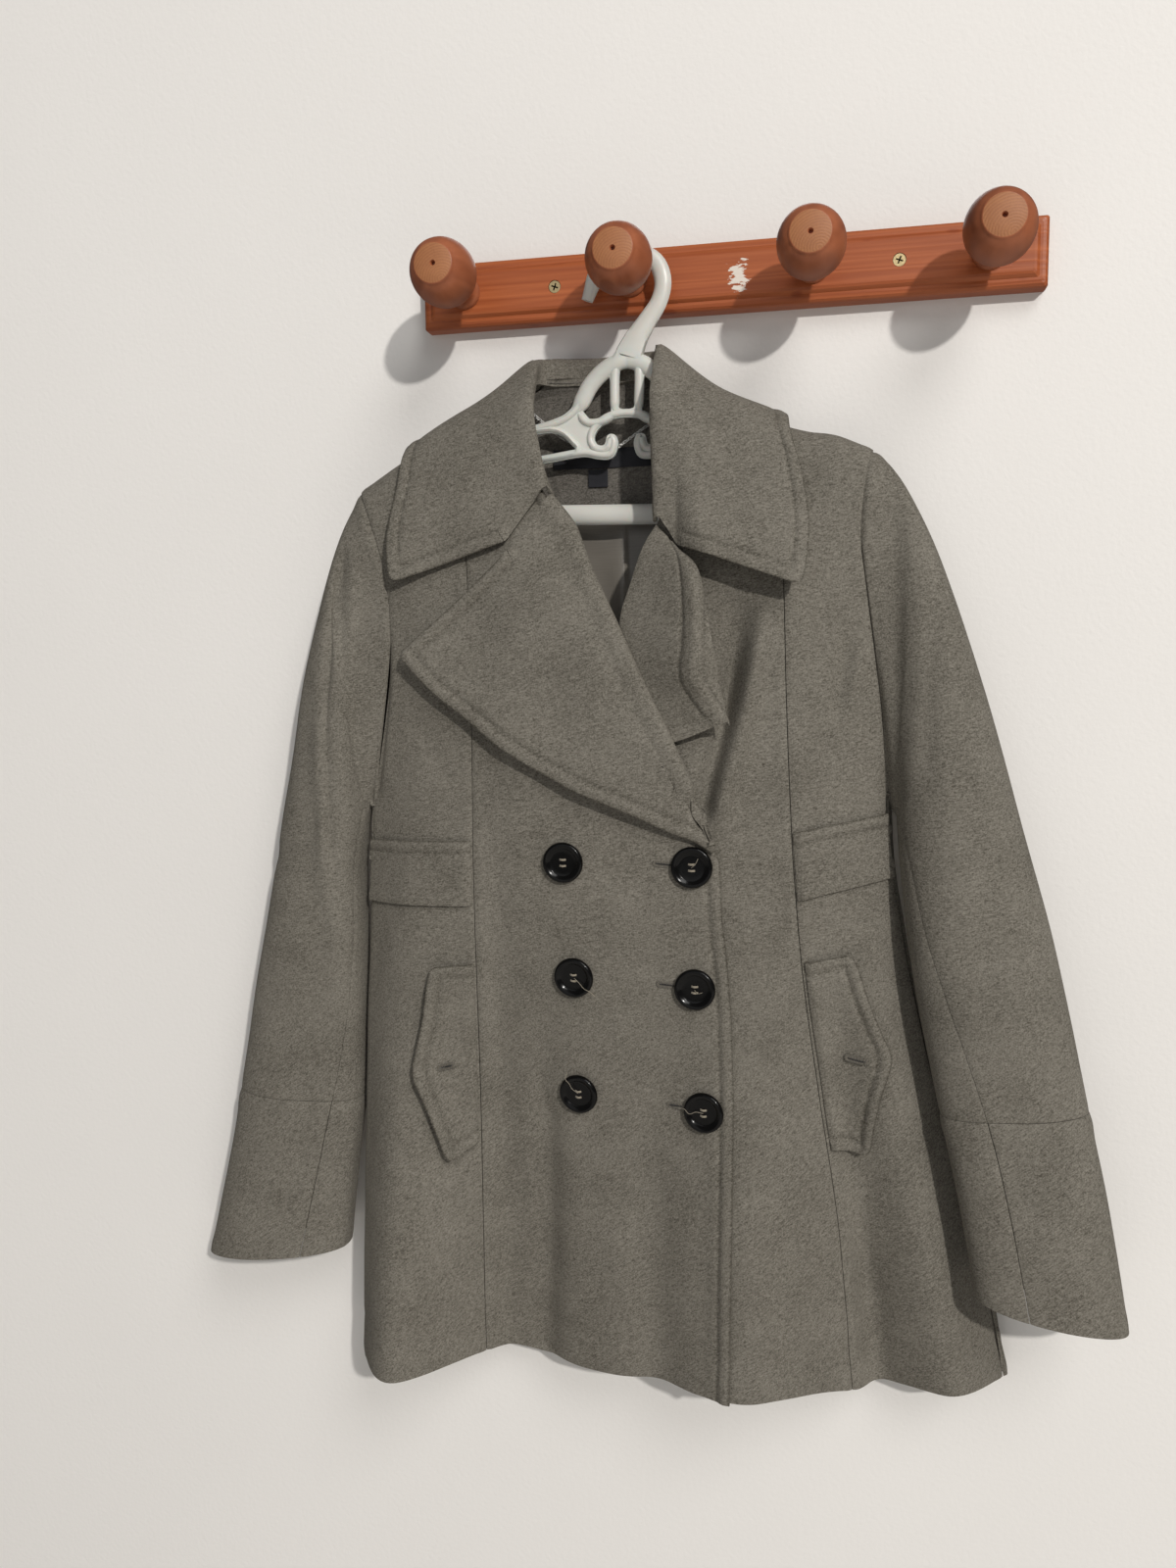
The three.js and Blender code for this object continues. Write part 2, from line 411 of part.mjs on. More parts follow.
// ---------------------------------------------------------------- solids from grids
// A closed wall between two grids of the same size, outer and inner, rows by columns.
function wall(outer, inner) {
  const m = outer.length, n = outer[0].length;
  const points = [...outer.flat(), ...inner.flat()];
  const o = (i, j) => i * n + j, q = (i, j) => m * n + i * n + j;
  const faces = [];
  const quad = (a, b, c, d) => faces.push([a, b, c], [a, c, d]);
  for (let i = 0; i + 1 < m; i++)
    for (let j = 0; j + 1 < n; j++) {
      quad(o(i, j), o(i + 1, j), o(i + 1, j + 1), o(i, j + 1));
      quad(q(i, j), q(i, j + 1), q(i + 1, j + 1), q(i + 1, j));
    }
  for (let i = 0; i + 1 < m; i++) {
    quad(o(i, 0), q(i, 0), q(i + 1, 0), o(i + 1, 0));
    quad(o(i, n - 1), o(i + 1, n - 1), q(i + 1, n - 1), q(i, n - 1));
  }
  for (let j = 0; j + 1 < n; j++) {
    quad(o(0, j), o(0, j + 1), q(0, j + 1), q(0, j));
    quad(o(m - 1, j), q(m - 1, j), q(m - 1, j + 1), o(m - 1, j + 1));
  }
  return faced(points, faces);
}
function faced(points, faces) {
  const volume = faces.reduce((sum, [a, b, c]) =>
    sum + points[a].dot(points[b].clone().cross(points[c])) / 6, 0);
  if (volume < 0) faces.forEach((f) => f.reverse());
  const geometry = new THREE.BufferGeometry();
  geometry.setAttribute("position",
    new THREE.Float32BufferAttribute(points.flatMap((p) => p.toArray()), 3));
  geometry.setIndex(faces.flat());
  geometry.computeVertexNormals();
  return geometry;
}
// A wall from a function of (row, column) that gives a point at height h over the base surface.
function layer(rows, columns, place, low, high) {
  const grid = (h) => rows.map((r) => columns.map((c) => place(r, c, h)));
  return wall(grid(high), grid(low));
}
const range = (from, to, count) =>
  Array.from({ length: count }, (_, i) => lerp(from, to, i / (count - 1)));

// Normals of a free grid of points, by neighbours, to give it thickness on both sides.
function thicken(grid, thickness, outwards) {
  const m = grid.length, n = grid[0].length;
  const normal = (i, j) => {
    const down = grid[Math.min(i + 1, m - 1)][j].clone().sub(grid[Math.max(i - 1, 0)][j]);
    const along = grid[i][Math.min(j + 1, n - 1)].clone().sub(grid[i][Math.max(j - 1, 0)]);
    return down.cross(along).normalize();
  };
  const moved = (h) => grid.map((row, i) =>
    row.map((p, j) => p.clone().addScaledVector(normal(i, j), h)));
  return wall(moved(outwards), moved(outwards - thickness));
}

// ---------------------------------------------------------------- body panels
const BODY_ROWS = [0, 0.5, 1, 1.5, 2, 2.5, 3, 3.5, 4, 4.5, 5, 5.5, 6, 7, 8, 9, 10, 11, 12];

// A panel between two edges, each a function of the row giving a station.
function panel(grid, rows, columns, from, to, lift) {
  const place = (v, t, h) => {
    const a = from(v), b = to(v), s = lerp(a, b, t);
    return shell(grid, s, v, h + lift(s, v));
  };
  return layer(rows, columns, place, 0, CLOTH);
}
const flat = () => 0;
// Stations a small distance in from a seam, so that two panels keep their gap.
const inset = (grid, s, way) => (v) => {
  const here = shell(grid, s, v, 0), next = shell(grid, s + way * 0.05, v, 0);
  return s + way * 0.05 * (SEAM / 2 / here.distanceTo(next));
};

// Height of the left front over the base: it clears the right front under it, and near the roll
// line also the tucked part of the right lapel.
function leftFrontLift(x, z) {
  const overlap = smooth((x + 178) / 40) * smooth((-108 - z) / 60);
  const tucked = smooth((x + 118) / 40) * smooth((z + 388) / 40) * smooth((-236 - z) / 40);
  return (CLOTH + FRONT_PLY) * overlap + 4 * tucked;
}
const liftAt = (s, v) => {
  const p = shell(frontGrid, s, v, 0);
  return leftFrontLift(p.x, p.z);
};

const leftEdge = (v) => stationAt(frontGrid, v, (z) => edgeX(LEFT_FRONT_EDGE, z));
const rightEdge = (v) => stationAt(frontGrid, v, (z) => edgeX(RIGHT_FRONT_EDGE, z));
const lastFront = ST_LAST, lastBack = ST_BACK_LAST;

add("front_left_side", panel(frontGrid, BODY_ROWS, range(0, 1, 6),
  inset(frontGrid, 0, 1), inset(frontGrid, ST_PRINCESS_L, -1), flat), "wool");
add("front_left_centre", panel(frontGrid, BODY_ROWS, range(0, 1, 11),
  inset(frontGrid, ST_PRINCESS_L, 1), leftEdge, liftAt), "wool");
add("front_right_centre", panel(frontGrid, BODY_ROWS, range(0, 1, 12),
  rightEdge, inset(frontGrid, ST_PRINCESS_R, -1), flat), "wool");
add("front_right_side", panel(frontGrid, BODY_ROWS, range(0, 1, 7),
  inset(frontGrid, ST_PRINCESS_R, 1), inset(frontGrid, lastFront, -1), flat), "wool");
add("back_right", panel(backGrid, BODY_ROWS, [0, 0.1, 0.3, 0.55, 0.8, 1],
  inset(backGrid, 0, 1), inset(backGrid, ST_BACK_CENTRE, -1), flat), "wool");
add("back_left", panel(backGrid, BODY_ROWS, [0, 0.2, 0.45, 0.7, 0.9, 1],
  inset(backGrid, ST_BACK_CENTRE, 1), inset(backGrid, lastBack, -1), flat), "wool");

// ---------------------------------------------------------------- lapels
// Outer height of the cloth that the left lapel lies on.
const leftStack = (x, z) => CLOTH + leftFrontLift(x, z);

// The left front's free edge as its own facets run, so that the lapel rolls just clear of it.
const rollEdge = BODY_ROWS.map((v) => {
  const p = front(leftEdge(v), v, 0);
  return [p.x, p.z];
});

// Cross-section of the roll: how far past the roll line, and how high, for both faces.
const ROLL = [
  { outer: [-4, -1.6], inner: [-1.4, -1.6] },
  { outer: [-4.6, 1.8], inner: [-1.6, 1.2] },
  { outer: [-2.2, 5.8], inner: [0.2, 3.2] },
  { outer: [5, 6.6], inner: [6, 3.8] },
  { outer: [13, 5.2], inner: [13, 2.6] },
];

function lapelRow(row, lastT) {
  const points = [[edgeX(rollEdge, row.roll[1]), row.roll[1]], row.mid, row.edge]
    .map(([x, z]) => new THREE.Vector3(x, 0, z));
  const length = points[0].distanceTo(points[1]) + points[1].distanceTo(points[2]);
  const scale = Math.min(1, length / 40);
  const outward = points[0].clone().sub(points[1]).normalize();
  const outer = [], inner = [];
  for (const step of ROLL) {
    for (const [list, [past, height]] of [[outer, step.outer], [inner, step.inner]]) {
      const p = points[0].clone().addScaledVector(outward, -past * scale);
      list.push(onFront(p.x, p.z, leftFrontLift(p.x, p.z) + CLOTH + (past < 0 ? height : height * scale)));
    }
  }
  for (const t of lastT) {
    const p = spline(points, Math.max(t * 2, 0.02 + (13 * scale) / points[0].distanceTo(points[1])));
    const puff = row.puff * Math.sin(Math.PI * Math.min(1, 0.15 + t * 0.85)) * 0.6;
    const base = leftStack(p.x, p.z) + PLY + 0.6 + puff;
    outer.push(onFront(p.x, p.z, base + CLOTH));
    inner.push(onFront(p.x, p.z, base));
  }
  return { outer, inner };
}
function interpolateRows(table, keys, rows) {
  return rows.map((t) => Object.fromEntries(keys.map((key) => {
    const first = table[0][key];
    if (typeof first === "number") return [key, spline(table.map((row) => row[key]), t)];
    return [key, first.map((_, i) => spline(table.map((row) => row[key][i]), t))];
  })));
}
const leftRows = interpolateRows(LEFT_LAPEL, ["roll", "mid", "edge", "puff"], range(0, 8, 14))
  .map((row) => lapelRow(row, [0.3, 0.42, 0.56, 0.7, 0.85, 1]));
add("lapel_left", wall(leftRows.map((r) => r.outer), leftRows.map((r) => r.inner)), "wool");

function rightLapelRow(row) {
  const points = [row.roll, row.mid, row.edge].map(([x, z]) => new THREE.Vector3(x, 0, z));
  return range(0, 1, 7).map((t) => {
    const p = spline(points, t * 2);
    return onFront(p.x, p.z, CLOTH * 1.5 + PLY + 0.4 + row.rise * t ** 1.7);
  });
}
const rightRows = interpolateRows(RIGHT_LAPEL, ["roll", "mid", "edge", "rise"], range(0, 6, 12))
  .map(rightLapelRow);
add("lapel_right", thicken(rightRows, CLOTH, CLOTH / 2), "wool");

// ---------------------------------------------------------------- collar
const COLLAR_COLUMNS = ["neck", "foldIn", "foldOut", "mid", "edge"];
const collarControl = COLLAR.map((row) => COLLAR_COLUMNS.map((key) => {
  const [a, b, c] = row[key];
  return row.on === "front" ? onFront(a, b, c) : new THREE.Vector3(a, b, c);
}));
const collarGrid = range(0, COLLAR.length - 1, 27).map((r) =>
  [0, 0.6, 1, 1.5, 2, 2.4, 2.8, 3.2, 3.6, 4].map((c) => surfacePoint(collarControl, c, r)));
add("collar", thicken(collarGrid, CLOTH, CLOTH / 2), "wool");

// ---------------------------------------------------------------- waist tabs and pocket flaps
function waistTab(name, tab, seam, side, count) {
  const place = (r, c, h) => {
    const z = lerp(lerp(tab.topSeam, tab.topSide, c), lerp(tab.lowSeam, tab.lowSide, c), r);
    const v = locateRow(lerp(seam, side, c), z);
    return front(lerp(seam, side, c), v, h);
  };
  const columns = range(0, 1, count).map((c) => clamp(c, 0.015, 0.97));
  add(name, layer(range(0, 1, 4), columns, place, CLOTH + 0.95, CLOTH + 2.75), "wool");
}
function locateRow(s, z) {
  let low = 0, high = FRONT.length - 1;
  for (let i = 0; i < 26; i++) {
    const v = (low + high) / 2;
    const { rows, from } = localGrid(frontGrid, v);
    if (surfacePoint(rows, s, v - from).z > z) low = v; else high = v;
  }
  return (low + high) / 2;
}
waistTab("waist_tab_left", WAIST_LEFT, ST_PRINCESS_L, 0, 6);
waistTab("waist_tab_right", WAIST_RIGHT, ST_PRINCESS_R, lastFront, 7);

function pocketFlap(name, table, seam, way) {
  const rows = interpolateRows(table, ["z", "edge"], range(0, table.length - 1, 13));
  const build = (extra) => rows.map((row) => range(0.02, 1, 6).map((t) => {
    const start = front(seam, locateRow(seam, row.z), 0);
    const x = lerp(start.x + way, row.edge[0], t), z = lerp(row.z, row.edge[1], t);
    return onFront(x, z, CLOTH + 0.5 + 2.2 * t * t + extra);
  }));
  add(name, wall(build(CLOTH), build(0)), "wool");
}
pocketFlap("pocket_flap_left", POCKET_LEFT, ST_PRINCESS_L, -1.2);
pocketFlap("pocket_flap_right", POCKET_RIGHT, ST_PRINCESS_R, 1.2);

// ---------------------------------------------------------------- sleeves
// A ring has points from the inner edge (0) over the front to the outer edge (0.5) and back (1).
const RING = 32;
function armholeRing(side) {
  const s = side === "left" ? 0 : lastFront, b = side === "left" ? lastBack : 0;
  const away = side === "left" ? -2.6 : 2.6;
  return Array.from({ length: RING + 1 }, (_, i) => {
    const t = i / RING;
    const v = UNDERARM_ROW * (t < 0.5 ? 1 - 2 * t : 2 * t - 1);
    const p = t < 0.5 ? front(s, v, CLOTH) : back(b, v, CLOTH);
    p.x += away * (1 + smooth((v - 4.5) / 1.5));
    if (v < 0.3) p.z += 2.5;
    return p;
  });
}
function sleeveRing(row) {
  const inner = new THREE.Vector3(row.inner[0], -row.depth, row.inner[1]);
  const outer = new THREE.Vector3(row.outer[0], -row.depth, row.outer[1]);
  return Array.from({ length: RING + 1 }, (_, i) => {
    const a = (i / RING) * 2 * Math.PI;
    const across = Math.sign(Math.sin(a)) * Math.abs(Math.sin(a)) ** 0.8;
    const way = 0.5 - 0.5 * Math.cos(a);
    const p = inner.clone().lerp(outer, way);
    const off = (way - row.ridge) / (way < row.ridge ? 0.35 : 0.16);
    p.y -= across * row.half + (across > 0 ? row.rise * Math.exp(-off * off) * Math.min(1, across * 2) : 0);
    return p;
  });
}
// Share of the ring at which a seam lies, from its share of the way across.
const ringShare = (across) => Math.acos(1 - 2 * across) / (2 * Math.PI);

function sleeve(side, table) {
  const rings = [armholeRing(side), ...table.map(sleeveRing)];
  const seam = (key) => [table[0][key], ...table.map((row) => row[key])].map(ringShare);
  const seamF = seam("seamF"), seamB = seam("seamB");
  // The under pieces run on past the inner edge, where a share below 0 counts from the ring's end.
  const at = (k, t) => spline(rings.map((ring) => spline(ring, (t - Math.floor(t)) * RING)), k);
  const piece = (name, rows, from, to, count) => {
    const gap = 0.0018;
    const outer = rows.map((k) => range(0, 1, count).map((c) =>
      at(k, lerp(from(k) + gap, to(k) - gap, c))));
    // The wall's inner face lies towards the ring's middle.
    const inner = rows.map((k, i) => {
      const ring = outer[i];
      return ring.map((p, j) => {
        const t = lerp(from(k) + gap, to(k) - gap, j / (count - 1));
        const around = at(k, t + 0.01).sub(at(k, t - 0.01));
        const down = at(Math.min(k + 0.05, table.length), t).sub(at(Math.max(k - 0.05, 0), t));
        const n = around.cross(down).normalize();
        if (side === "right") n.negate();
        return p.clone().addScaledVector(n, -CLOTH);
      });
    });
    add(name, wall(outer, inner), "wool");
  };
  const armRows = [0, 0.5, 1, 1.5, 2, 2.5, 3, 3.6, 4.2, 5, 5.8, 6.4, CUFF_ROW - 0.008];
  const cuffRows = [CUFF_ROW + 0.008, 7.5, 8, 8.5, table.length];
  const front = (k) => spline(seamF, k), rear = (k) => 1 - spline(seamB, k);
  for (const [part, rows] of [["sleeve", armRows], ["cuff", cuffRows]]) {
    piece(`${part}_${side}_upper`, rows, front, rear, 15);
    piece(`${part}_${side}_under`, rows, (k) => rear(k) - 1, front, 7);
  }
}
sleeve("left", SLEEVE_LEFT);
sleeve("right", SLEEVE_RIGHT);

// ---------------------------------------------------------------- inside of the neck
function patch(name, table, rows, columns, low, high, look) {
  const levels = interpolateRows(table, ["z", "left", "right"], range(0, table.length - 1, rows));
  const place = (row, c, h) => onBack(lerp(row.left, row.right, c), row.z, h);
  add(name, layer(levels, range(0, 1, columns), place, low, high), look);
}
patch("neck_facing", NECK_FACING, 8, 11, -2.6, -1.1, "wool");
patch("lining_back", LINING, 7, 9, -1.6, -0.6, "lining");
patch("neck_label", NECK_LABEL, 3, 8, -4.2, -3.2, "label");
patch("size_tab", SIZE_TAB, 3, 3, -4.2, -3.2, "label");

// ---------------------------------------------------------------- sweeps and turned pieces
// A closed bar of oval section along a list of Vector3, flat faces facing side.
function sweep(points, wide, deep, side, segments, ringCount, taper) {
  const curve = new THREE.CatmullRomCurve3(points);
  const rings = [];
  for (let i = 0; i <= segments; i++) {
    const t = i / segments, p = curve.getPoint(t), tangent = curve.getTangent(t);
    const across = tangent.clone().cross(side).normalize();
    const scale = taper ? taper(t) : 1;
    rings.push(Array.from({ length: ringCount }, (_, k) => {
      const a = (k / ringCount) * 2 * Math.PI;
      return p.clone().addScaledVector(across, Math.cos(a) * wide * 0.5 * scale)
        .addScaledVector(side, Math.sin(a) * deep * 0.5 * scale);
    }));
  }
  const ends = [rings[0], rings[segments]].map((ring) =>
    ring.reduce((sum, p) => sum.add(p), new THREE.Vector3()).multiplyScalar(1 / ringCount));
  const list = [...rings.flat(), ...ends];
  const faces = [], id = (i, k) => i * ringCount + (k % ringCount);
  for (let i = 0; i < segments; i++)
    for (let k = 0; k < ringCount; k++)
      faces.push([id(i, k), id(i + 1, k), id(i + 1, k + 1)], [id(i, k), id(i + 1, k + 1), id(i, k + 1)]);
  const first = rings.length * ringCount;
  for (let k = 0; k < ringCount; k++) {
    faces.push([first, id(0, k), id(0, k + 1)]);
    faces.push([first + 1, id(segments, k + 1), id(segments, k)]);
  }
  return faced(list, faces);
}

function solidOf(geometry) {
  const g = geometry.clone();
  g.deleteAttribute("normal");
  if (g.getAttribute("uv")) g.deleteAttribute("uv");
  const merged = mergeVertices(g, 1e-3);
  return new wasm.Manifold(new wasm.Mesh({ numProp: 3,
    vertProperties: new Float32Array(merged.attributes.position.array),
    triVerts: new Uint32Array(merged.index.array) }));
}
function geometryOf(solid) {
  const mesh = solid.getMesh();
  const geometry = new THREE.BufferGeometry();
  geometry.setAttribute("position", new THREE.BufferAttribute(new Float32Array(mesh.vertProperties), 3));
  geometry.setIndex(new THREE.BufferAttribute(new Uint32Array(mesh.triVerts), 1));
  geometry.computeVertexNormals();
  return geometry;
}

add("hang_chain", sweep(CHAIN.map((p) => new THREE.Vector3(...p)), 2.6, 2.6,
  new THREE.Vector3(0, 1, 0), 22, 6), "chain");

// ---------------------------------------------------------------- hanger
const hangerSpace = (x, z, y = 0) => new THREE.Vector3(x, y, z + 60)
  .applyAxisAngle(new THREE.Vector3(0, 1, 0), -HANGER.lean)
  .add(new THREE.Vector3(HANGER.x, HANGER_Y, -60));
const mirrored = (list) => list.map(([x, z]) => [-x, z]).reverse();
const outline = [
  ...HANGER_ARM_TOP, ...HANGER_ARM_LOW, ...HANGER_CURL,
  ...mirrored([...HANGER_ARM_TOP.slice(1), ...HANGER_ARM_LOW, ...HANGER_CURL.slice(0, -1)]),
];
const plateShape = new THREE.Shape(outline.reverse().map(([x, z]) => new THREE.Vector2(x, z)));
plateShape.holes = [HANGER_CENTRE_SLOT, HANGER_SIDE_SLOT, mirrored(HANGER_SIDE_SLOT),
  HANGER_ARM_GAP, mirrored(HANGER_ARM_GAP)]
  .map((slot) => new THREE.Path(slot.map(([x, z]) => new THREE.Vector2(x, z))));
const plate = new THREE.ExtrudeGeometry(plateShape,
  { depth: HANGER.thick, steps: 1, bevelEnabled: false });
plate.translate(0, 0, -HANGER.thick / 2);
plate.rotateX(Math.PI / 2);
const place = new THREE.Matrix4().makeTranslation(HANGER.x, HANGER_Y, -60)
  .multiply(new THREE.Matrix4().makeRotationY(-HANGER.lean))
  .multiply(new THREE.Matrix4().makeTranslation(0, 0, 60));
plate.applyMatrix4(place);
const inPlane = (list) => list.map(([x, z]) => hangerSpace(x, z));
const hookSolid = solidOf(sweep(HOOK.map(([x, z]) => new THREE.Vector3(HANGER.x + x, HANGER_Y, z)),
  HOOK_SECTION.wide, HOOK_SECTION.deep, new THREE.Vector3(0, 1, 0), 30, 12,
  (t) => 0.72 + 0.28 * smooth(t * 8)));
const barSolid = solidOf(sweep(inPlane(TROUSER_BAR), BAR_SECTION.wide, BAR_SECTION.deep,
  new THREE.Vector3(0, 1, 0), 34, 8));
add("hanger", geometryOf(solidOf(plate).add(hookSolid).add(barSolid)), "plastic");

// ---------------------------------------------------------------- buttons
// Turned profile: [radius, height]. A raised rim round a dished middle.
const BUTTON_PROFILE = [[0, 0], [10, 0], [14.1, 0.8], [BUTTON_R, 2.4], [14.6, 4.3], [13.2, 4.9],
  [11.6, 4.2], [10.1, 3.1], [0, 2.9]];
for (const { name, x, z } of BUTTONS) {
  const lathe = new THREE.LatheGeometry(BUTTON_PROFILE.map(([r, h]) => new THREE.Vector2(r, h)), 18);
  const outside = leftStack(x, z) + 0.75;
  const base = onFront(x, z, outside), tip = onFront(x, z, outside + 1);
  const normal = tip.sub(base).normalize();
  lathe.applyQuaternion(new THREE.Quaternion().setFromUnitVectors(new THREE.Vector3(0, 1, 0), normal));
  lathe.translate(...base.toArray());
  add(name, lathe, "button");
}

// ---------------------------------------------------------------- rail, pegs and screws
// Outline loops of the board from the wall out: [depth, inset from the outline].
const BOARD_PROFILE = [[0, 0], [11, 0], [13, 0.7], [14.4, 2.2], [15, 4.4], [15, 6.2], [16.2, 7.2],
  [17.4, 8.4], [18, 10.2]];
function board() {
  const corner = 1.2, loops = BOARD_PROFILE.map(([depth, inset_]) => {
    const a = RAIL.length / 2 - inset_, b = RAIL.height / 2 - inset_;
    return [[a, -b + corner], [a, b - corner], [a - corner, b], [-a + corner, b], [-a, b - corner],
      [-a, -b + corner], [-a + corner, -b], [a - corner, -b]]
      .map(([x, z]) => new THREE.Vector3(x, -depth, z));
  });
  const n = 8, points = loops.flat(), faces = [];
  for (let i = 0; i + 1 < loops.length; i++)
    for (let k = 0; k < n; k++) {
      const a = i * n + k, b = i * n + ((k + 1) % n);
      faces.push([a, b, b + n], [a, b + n, a + n]);
    }
  const top = (loops.length - 1) * n;
  for (let k = 1; k + 1 < n; k++) faces.push([0, k + 1, k], [top, top + k, top + k + 1]);
  return faced(points, faces);
}
// Screw: countersunk head flush with the board, shank through it. [radius, depth from the wall]
const SCREW_PROFILE = [[0, 1], [2, 1], [2, 13.2], [4.4, 15.8], [4.4, 17.4], [0, 17.4]];
const SCREW_HOLE = [[0, -2], [2.35, -2], [2.35, 13.4], [4.75, 15.9], [4.75, 20], [0, 20]];
function turned(profile, x, segments) {
  const lathe = new THREE.LatheGeometry(profile.map(([r, h]) => new THREE.Vector2(r, h)), segments);
  lathe.rotateX(Math.PI);
  lathe.translate(x, 0, 0);
  return lathe;
}
let boardSolid = solidOf(board());
for (const x of SCREW_X) boardSolid = boardSolid.subtract(solidOf(turned(SCREW_HOLE, x, 20)));
add("rail_board", geometryOf(boardSolid), "pine", group);

SCREW_X.forEach((x, i) => {
  let screw = solidOf(turned(SCREW_PROFILE, x, 20));
  for (const turn of [0.35, 0.35 + Math.PI / 2]) {
    const slot = new THREE.BoxGeometry(5.4, 2.4, 1.1);
    slot.rotateY(turn);
    slot.translate(x, -17.6, 0);
    screw = screw.subtract(solidOf(slot));
  }
  add(`screw_${i + 1}`, geometryOf(screw), "steel", group);
});

// Peg: foot flare, stem, ball, and the flat end-grain disc with its centre hole. [radius, depth]
const PEG_PROFILE = [[0, 18.3], [12, 18.3], [11.4, 20.6], [9.3, 23.5], [8.7, 30], [9, 41],
  [12.6, 46], [18.4, 51.4], [22.2, 59], [PEG_BALL_R, 68], [22.4, 77], [19, 85.6], [14.6, 90.8],
  [14, 92], [1.6, 92], [0, 89.8]];
PEG_X.forEach((x, i) => add(`peg_${i + 1}`, turned(PEG_PROFILE, x, 20), "pine", group));

export default group;
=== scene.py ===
import math

import bmesh
import bpy
import numpy as np
from mathutils import Matrix, Vector


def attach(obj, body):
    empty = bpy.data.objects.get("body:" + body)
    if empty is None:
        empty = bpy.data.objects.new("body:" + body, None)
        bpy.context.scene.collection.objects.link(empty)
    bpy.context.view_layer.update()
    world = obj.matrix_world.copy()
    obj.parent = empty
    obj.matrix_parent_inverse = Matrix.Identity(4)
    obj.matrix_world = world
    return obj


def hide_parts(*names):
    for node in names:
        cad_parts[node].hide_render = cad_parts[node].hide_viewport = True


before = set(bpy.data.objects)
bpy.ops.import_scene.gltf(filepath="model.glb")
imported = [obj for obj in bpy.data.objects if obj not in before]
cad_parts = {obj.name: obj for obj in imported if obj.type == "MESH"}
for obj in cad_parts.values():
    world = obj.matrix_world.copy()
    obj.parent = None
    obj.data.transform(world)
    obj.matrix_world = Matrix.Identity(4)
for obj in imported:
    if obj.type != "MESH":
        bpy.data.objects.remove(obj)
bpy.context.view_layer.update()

MM = 0.001

# Thickness of the cloth, of the gap under a lapel and under the left front, and a seam's gap.
CLOTH, PLY, FRONT_PLY, SEAM = 2.5, 0.8, 1.3, 0.35
# How far in from an edge the topstitching runs, and one stitch's length in metres.
STITCH, STITCH_LENGTH = 9.8, 0.0042
# The coat's rows rise by this share to the right of TILT_X.
TILT, TILT_X = 0.034, -290
HANGER_X, HANGER_Y, HANGER_LEAN = -65.5, -33, math.radians(-1.3)

# ------------------------------------------------------------------------------------- camera
eye = bpy.data.cameras.new("front_camera")
eye.lens, eye.sensor_width, eye.sensor_fit = 27, 36, "AUTO"
eye.clip_start, eye.clip_end = 0.05, 50
camera = bpy.data.objects.new("front_camera", eye)
bpy.context.scene.collection.objects.link(camera)
right = Vector((0.97855671, 0.2056025, -0.01242459))
forward = Vector((-0.2056926, 0.97225161, -0.11143324))
above = Vector((-0.01083112, 0.11159939, 0.99369425))
camera.matrix_world = Matrix.Translation((0.086638, -0.910006, -0.272151)) @ Matrix(
    (right, above, -forward)).transposed().to_4x4()
bpy.context.scene.camera = camera


# ---------------------------------------------------------------------------- shader arithmetic
class Tone:
    """A number from the node tree; sums with it add Math nodes."""

    def __init__(self, finish, socket):
        self.finish, self.socket = finish, socket

    def sum_with(self, operation, *others):
        inputs = {i: value for i, value in enumerate(others)}
        return self.finish.node("ShaderNodeMath", {"operation": operation}, inputs)

    def __add__(self, other):
        return self.sum_with("ADD", self, other)

    def __sub__(self, other):
        return self.sum_with("SUBTRACT", self, other)

    def __rsub__(self, other):
        return self.sum_with("SUBTRACT", other, self)

    def __mul__(self, other):
        return self.sum_with("MULTIPLY", self, other)

    def __truediv__(self, other):
        return self.sum_with("DIVIDE", self, other)

    __radd__, __rmul__ = __add__, __mul__

    def sine(self):
        return self.sum_with("SINE", self)

    def power(self, exponent):
        return self.sum_with("POWER", self, exponent)

    def bell(self, middle, width):
        off = (self - middle) / width
        return self.sum_with("EXPONENT", off * off * -1)

    def step(self, low, high):
        """0 below low, 1 above high, smooth between."""
        return self.finish.node("ShaderNodeMapRange", {"interpolation_type": "SMOOTHSTEP"},
                                {"Value": self, "From Min": low, "From Max": high})


